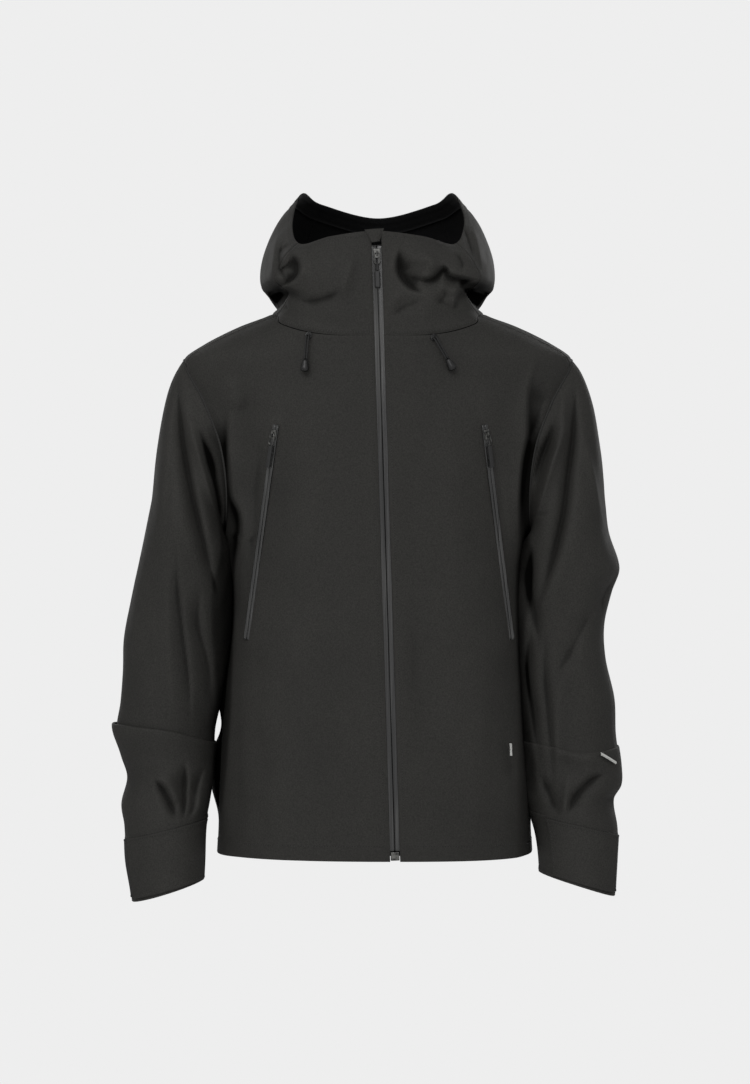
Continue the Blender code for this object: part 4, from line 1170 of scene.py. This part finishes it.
def inner_trims():
    lining = [LINING, LINING, STITCH]
    facing = cloth("neck_facing_look", between(inside(lambda t, d: torso(t, neck_z(t) - d), -0.005),
        118, 242, 0.036, 0.006), lining, 0.004, hems=("low_v",), sewn=("high_v",),
        stitch=(("low_v", 0.003),), hem_depth=0.003)
    stands_for(facing, "lining", "torso", "neck_facing")
    hem = cloth("hem_facing_look", between(inside(torso, 0.0085), 8, 352, HEM_Z + 0.004, HEM_Z + 0.032),
        lining, 0.0045, hems=("high_v",), stitch=(("high_v", 0.003),), hem_depth=0.003)
    stands_for(hem, "lining", "torso", "hem_facing")
    for label, side in SIDES:
        bag = cloth(f"pocket_bag_{label}_look", between(inside(torso, 0.0125), 22, 56, -0.43, -0.2),
            lining, 0.004, **all_round(0.006), side=side, thick=0.0016, shape=settled(0.0005, 0.05, 4),
            hem_depth=0.004)
        stands_for(bag, "lining", "torso", f"pocket_bag_{label}")
    top, low = np.array(zip_point(0.094)), np.array(zip_point(HEM_Z + 0.006))
    flap = cloth("storm_flap_look", lambda u, v: low + (top - low) * v[..., None]
        + join((u - 0.5) * 0.042, 0.0115 + 0.0012 * (2 * u - 1) ** 2, 0), lining, 0.004, hems=ALL_EDGES,
        stitch=(("low_u", 0.004), ("high_u", 0.004)), shape=settled(0.0004, 0.06, 9), hem_depth=0.006)
    stands_for(flap, "lining", "torso", "storm_flap")
    bend = np.array([(-0.024, 0.0762), (-0.0222, 0.069), (-0.016, 0.0643), (0, 0.0637), (0.016, 0.0643),
        (0.0222, 0.069), (0.024, 0.0762)])
    line = smooth(np.column_stack([np.linspace(0, 1, 7), bend]), np.linspace(0, 1, 33))

    def hanger(u, v):
        x, y = (np.interp(u, np.linspace(0, 1, 33), line[:, k]) for k in (0, 1))
        return join(x, y, 0.02 + 0.008 * v)

    loop = cloth("hanger_loop_look", hanger, [CORD, CORD, STITCH], 0.0015, hems=("low_v", "high_v"),
        hem_depth=0.0006)
    stands_for(loop, "cord", "torso", "hanger_loop")
    tag = cloth("size_label_look", lambda u, v: join(0.034 * (u - 0.5),
        0.0749 - 0.001 * np.sin(v * 2.6), 0.017 - 0.018 * (1 - v)), [LABEL, LABEL, STITCH], 0.0015,
        sewn=("high_v",), thick=LABEL_THICK, stitch=(("high_v", 0.002),))
    stands_for(tag, "label_cloth", "torso", "size_label")
    route = inside(torso, 0.0056)
    line = lean(route(np.linspace(12, 348, 181), np.full(181, HEM_Z + 0.014)))
    stands_for(tube("hem_drawcord_look", line, 0.0012, CORD), "cord", "torso", "hem_drawcord")


def armhole_tapes():
    """The tape that closes each armhole seam from the inside."""
    ring = torso(*armhole(np.linspace(0, 360, 181)))
    for label, side in SIDES:
        tape = tube(f"armhole_tape_{label}", lean(ring * (side, 1, 1)), 0.0016, SEAM_TAPE, 10)
        stands_for(tape, "lining", "torso")


def marks():
    """Plain pale marks on the forearm and by the hem, and a label inside the hood."""
    pale = [LABEL, LABEL, STITCH]

    def forearm(u, v):
        phi = 296 + 24 * u
        return limb("left", phi, -0.523 - 0.012 * u - 0.004 * v, 0.006)

    dash = cloth("forearm_mark", forearm, pale, 0.0012, hems=ALL_EDGES, thick=LABEL_THICK, flip=True,
        hem_depth=LABEL_HEM, shape=sleeve_shape("left"))
    stands_for(dash, "label_cloth", elbow_blend("left", 1))

    def by_hem(u, v):
        return torso(54 + (1.6 * u - 0.8) * (1.25 - 0.5 * v), -0.526 + 0.015 * v) + join(0, -0.001, 0)

    tab = cloth("hem_mark", by_hem, pale, 0.0012, hems=ALL_EDGES, thick=LABEL_THICK,
        hem_depth=LABEL_HEM, shape=torso_shape)
    stands_for(tab, "label_cloth", "torso")
    inner = cloth("hood_label", between(inside(cowl, 0.005), 152, 161, 0.8, 0.835), pale, 0.002,
        hems=ALL_EDGES, stitch=(("low_u", 0.0015), ("high_u", 0.0015)), thick=LABEL_THICK,
        hem_depth=0.0006)
    stands_for(inner, "label_cloth", HOOD_BLEND)


# --- hard trims ---------------------------------------------------------------------------
def solid_rows(name, rows, finishes):
    """A closed solid through rings of points, with a flat cap at each end."""
    count, around = rows.shape[:2]
    faces = quads(count, around, True)
    k = np.arange(1, around - 1)
    first = np.stack([np.zeros_like(k), k + 1, k, k], 1)
    last = np.stack([np.zeros_like(k), k, k + 1, k + 1], 1) + (count - 1) * around
    length = lengths_along(rows.mean(1))
    girth = lengths_along(rows[count // 2])[-1]
    flat = join(np.linspace(0, girth, around)[None, :], length[:, None])
    faces = np.concatenate([faces, first, last])
    kinds = np.zeros(len(faces))
    return mesh_object(name, rows.reshape(-1, 3), faces, kinds, flat.reshape(-1, 2), finishes)


def tube(name, line, radius, material, sides=14):
    """A round cord along a line of points."""
    line = np.asarray(line, float)
    ahead = unit(np.gradient(line, axis=0))
    side = np.cross(ahead[0], (0, 0.3, 1) if abs(ahead[0][2]) < 0.9 else (1, 0, 0))
    rings = []
    for point, way in zip(line, ahead):
        side = unit(side - way * (side @ way))
        up = np.cross(way, side)
        turn = np.linspace(0, 2 * math.pi, sides, endpoint=False)[:, None]
        rings.append(point + radius * (np.cos(turn) * side + np.sin(turn) * up))
    return solid_rows(name, np.array(rings), [material])


def placed(points, place):
    """Points given in a frame, in the row frame."""
    matrix = np.array(place)
    return points @ matrix[:3, :3].T + matrix[:3, 3]


def stacked(name, rings, place, material):
    """A turned solid along its own Z: (z, half width, half depth) from the top down."""
    turn = np.linspace(0, 360, 28, endpoint=False)
    rows = [join(cosine(turn) * wide, sine(turn) * deep, z) for z, wide, deep in rings[::-1]]
    return solid_rows(name, placed(np.array(rows), place), [material])


def frame_at(origin, up, outwards):
    z = Vector(up).normalized()
    x = z.cross(Vector(outwards)).normalized()
    y = z.cross(x)
    return Matrix.Translation(Vector(origin)) @ Matrix((x, y, z)).transposed().to_4x4()


def swept(name, section, place, low, high, material, wave=0, pitch=0.004, first=0):
    """A closed section in X and Y carried along Z, with a slight wave along the way out."""
    zs = np.linspace(low, high, max(4, int((high - low) / pitch)))
    rows = np.array(section, float)[None] + np.zeros((len(zs), 1, 1))
    points = join(rows[..., 0], rows[..., 1], zs[:, None])
    points[..., 1] += wave * waves(points * (1, 0, 1), 0.07, first)
    return solid_rows(name, placed(points, place), [material])


def arch(hand, low_x, high_x, low_y, high_y, rise_y, thick):
    """A strip's section whose front is arched, on the hand's side (1 or -1) of the middle; low_y
    and high_y are its edges' heights."""
    t = np.linspace(0, 1, 7)
    x = low_x + (high_x - low_x) * t
    y = low_y + (high_y - low_y) * t - rise_y * 4 * t * (1 - t)
    section = np.vstack([np.column_stack([x, y]), np.column_stack([x, y + thick])[::-1]]) * (hand, 1)
    return section[::hand]


def front_zip():
    """On each side a film lip that reaches the middle, and the tape's edge beside the box at the hem."""
    top, low = zip_point(ZIP_TOP_Z), zip_point(HEM_Z + 0.0125)
    length, stretch = (top - low).length, 0.0115
    place = frame_at((top + low) / 2, top - low, (0, -1, 0))
    for label, side in SIDES:
        lip = arch(side, 0.0002, 0.0066, 0.003, 0.0021, 0.0003, 0.0008)
        edge = arch(side, 0.0058, 0.0125, 0.0024, 0.0034, 0.0001, 0.0008)
        film = swept(f"front_zip_film_{label}", lip, place, -length / 2, length / 2, TAPE_CLOTH, 0.0001,
            0.003, 12)
        stands_for(film, "zip_tape", "torso", f"front_zip_tape_{label}")
        tape = swept(f"front_zip_edge_{label}", edge, place, -length / 2 - stretch, length / 2,
            TAPE_CLOTH)
        stands_for(tape, "zip_tape", "torso")


def chest_zips():
    half = np.linalg.norm(CHEST_TOP - CHEST_END) / 2
    for label, side in SIDES:
        top, end = (Vector(lean(point * (side, 1, 1))) for point in (CHEST_TOP, CHEST_END))
        place = frame_at((top + end) / 2, top - end, (0.62 * side, -0.78, 0))
        for letter, hand, nodes in (("a", -1, [f"chest_zip_tape_{label}"]), ("b", 1, [])):
            section = arch(hand, 0.0002, 0.0045, -0.0009, -0.0012, 0.0003, 0.0012)
            film = swept(f"chest_film_{label}_{letter}", section, place, -half, half, TAPE_CLOTH)
            stands_for(film, "zip_tape", "torso", *nodes)


# millimetres: (z, half width, half depth) from the top down
EYELET_RINGS = metres((
    (0.8, 3.3, 3.3), (0.9, 3.7, 3.7), (0.6, 4.2, 4.2), (-0.8, 4.2, 4.2), (-0.8, 3.2, 3.2), (0.5, 3, 3)
))
CORD_END_RINGS = metres((
    (7, 2.4, 2.4), (6.7, 3.2, 3.2), (5, 3.6, 3.6), (2, 4.1, 4), (-2, 5, 4.7), (-4.8, 5.1, 4.8),
    (-6.4, 4.5, 4.2), (-7.2, 3, 2.8), (-7.3, 1.2, 1.2)
))


def eyelet_place(label, side):
    x, z, swing = EYELETS[label]
    reach, turn = 0.004, Vector((side, 1, 1))
    spot = lambda px, pz: Vector(surface_at(np.float64(px), np.float64(pz)))
    across = spot(x + reach, z) - spot(x - reach, z)
    up = spot(x, z) - spot(x, z - 8 * reach)
    origin = Vector(lean(np.array(spot(x, z) * turn)))
    place = frame_at(origin, up * turn, across.cross(up) * turn)
    return place @ Matrix.Rotation(math.radians(-side * swing), 4, "Y")


def cord_route(shift):
    """Out of the eyelet, over in a quarter turn, then down the front to the cord end."""
    bend = 0.0052
    turn = [(shift, -0.0012 - bend * math.sin(a), -bend + bend * math.cos(a))
        for a in np.linspace(0, math.pi / 2, 8)]
    hang = [(shift * (1 - 0.2 * t), -0.0012 - bend, -bend - (CORD_LENGTH_Z - bend) * t)
        for t in np.linspace(0, 1, 10)[1:]]
    return np.array(turn + hang)


def drawcords():
    for label, side in SIDES:
        place = eyelet_place(label, side)
        ring = stacked(f"cord_eyelet_{label}_look", EYELET_RINGS, place @ Matrix.Translation((0,
            -0.0015, 0)) @ Matrix.Rotation(math.pi / 2, 4, "X"), DARK_METAL)
        stands_for(ring, "dark_metal", "torso", f"cord_eyelet_{label}")
        bell = stacked(f"cord_end_{label}_look", CORD_END_RINGS, place @ Matrix.Translation((0, -0.0064,
            -CORD_LENGTH_Z - 0.0074)), PLASTIC)
        stands_for(bell, "moulded_plastic", "torso", f"cord_end_{label}")
        for number, shift in ((1, -0.0015), (2, 0.0015)):
            line = placed(cord_route(shift), place)
            strand = tube(f"drawcord_{label}_{number}_look", line, 0.0011, CORD)
            stands_for(strand, "cord", "torso", f"drawcord_{label}_{number}")
            length = float(lengths_along(line)[-1])


def garage():
    """The folded corner of cloth that the slider parks under."""
    place = frame_at(zip_point(0.0985), zip_point(0.1) - zip_point(0), (0, -1, 0))

    def surface(u, v):
        low_x, high_x = -0.004 - 0.0078 * v, 0.0055 + 0.0065 * v
        x = low_x + (high_x - low_x) * u
        y = -0.0019 - 0.0012 * np.sin(math.pi * u) * (1 - 0.6 * v) + 0.0016 * u ** 4
        return placed(join(x, y, (v - 0.5) * 0.016 + 0.0012 * u), place)

    flap = cloth("zip_garage_look", surface, PANEL, 0.001, hems=("low_u", "low_v"), thick=0.0009,
        stitch=(("low_u", 0.0018),), hem_depth=0.001)
    stands_for(flap, "shell_fabric", "torso", "zip_garage")


def carried_over():
    """CAD pieces shown as they are, in their finish."""
    for name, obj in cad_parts.items():
        if not obj.hide_render:
            material = RUBBER if "grip" in name else PLASTIC if "coil" in name or "hem" in name else METAL
            obj.data.materials.clear()
            obj.data.materials.append(STITCH if "pull_loop" in name else material)


# --- stage --------------------------------------------------------------------------------
CAMERA_AT, LENS, SENSOR = (-0.0036, -4.1, -0.2688), 110.7, 36
FLOOR_Z = -1.45
WHITE = (1, 1, 1, 1)
BACKDROP, FILL_FRONT, FILL_BACK = 0.855, 0.62, 0.2      # the world's strength as seen and as light
LIT_POINT = (0, 0, -0.25)
LIGHTS = (                                              # name, place, size, power
    ("front_soft", (-0.9, -3.2, 2), (2.4, 1.8), 52),
    ("left_rim", (-1.5, 2.6, 0.9), (0.4, 2.4), 12),
    ("right_rim", (1.5, 2.6, 0.9), (0.4, 2.4), 20),
)


def stage_finish(name, value):
    made, tree, shader = finish(name, 0.9)
    mottled = node(tree, "TexNoise", {"Scale": 2}).outputs["Fac"]
    feed(shader, Base_Color=shades(tree, mottled, value * 0.99, value))
    return made


def area_light(name, location, size, power):
    data = bpy.data.lights.new(name, "AREA")
    data.shape = "RECTANGLE"
    data.size, data.size_y = size
    data.energy = power
    light = bpy.data.objects.new(name, data)
    light.location = location
    light.rotation_euler = (Vector(LIT_POINT) - Vector(location)).to_track_quat("-Z", "Y").to_euler()
    light.visible_camera = False
    bpy.context.scene.collection.objects.link(light)


def studio():
    bpy.ops.mesh.primitive_circle_add(vertices=96, radius=3, fill_type="NGON", location=(0, 0, FLOOR_Z))
    floor = bpy.context.object
    floor.name = "studio_floor"
    floor.data.materials.append(stage_finish("pale_floor", 0.82))
    world = bpy.data.worlds.new("studio")
    world.use_nodes = True
    tree = world.node_tree
    way = node(tree, "SeparateXYZ",
        {"Vector": node(tree, "TexCoord").outputs["Generated"]}).outputs["Y"]
    strength = ranged(tree, way, -1, 1, FILL_FRONT, FILL_BACK)
    fill = node(tree, "Background", {"Color": WHITE, "Strength": strength})
    seen = node(tree, "Background", {"Color": WHITE, "Strength": BACKDROP})
    ray = node(tree, "LightPath").outputs["Is Camera Ray"]
    both = node(tree, "MixShader", {0: ray, 1: fill.outputs[0], 2: seen.outputs[0]})
    tree.links.new(both.outputs[0], tree.nodes["World Output"].inputs["Surface"])
    bpy.context.scene.world = world
    for light in LIGHTS:
        area_light(*light)
    bpy.context.scene.view_settings.view_transform = "Standard"
    data = bpy.data.cameras.new("camera")
    data.sensor_width, data.lens = SENSOR, LENS
    camera = bpy.data.objects.new("camera", data)
    camera.location, camera.rotation_euler = CAMERA_AT, (math.pi / 2, 0, 0)
    bpy.context.scene.collection.objects.link(camera)
    bpy.context.scene.camera = camera


torso_panels()
sleeve_panels()
cuffs()
collar_and_hood()
inner_trims()
armhole_tapes()
marks()
front_zip()
chest_zips()
drawcords()
garage()
carried_over()
studio()
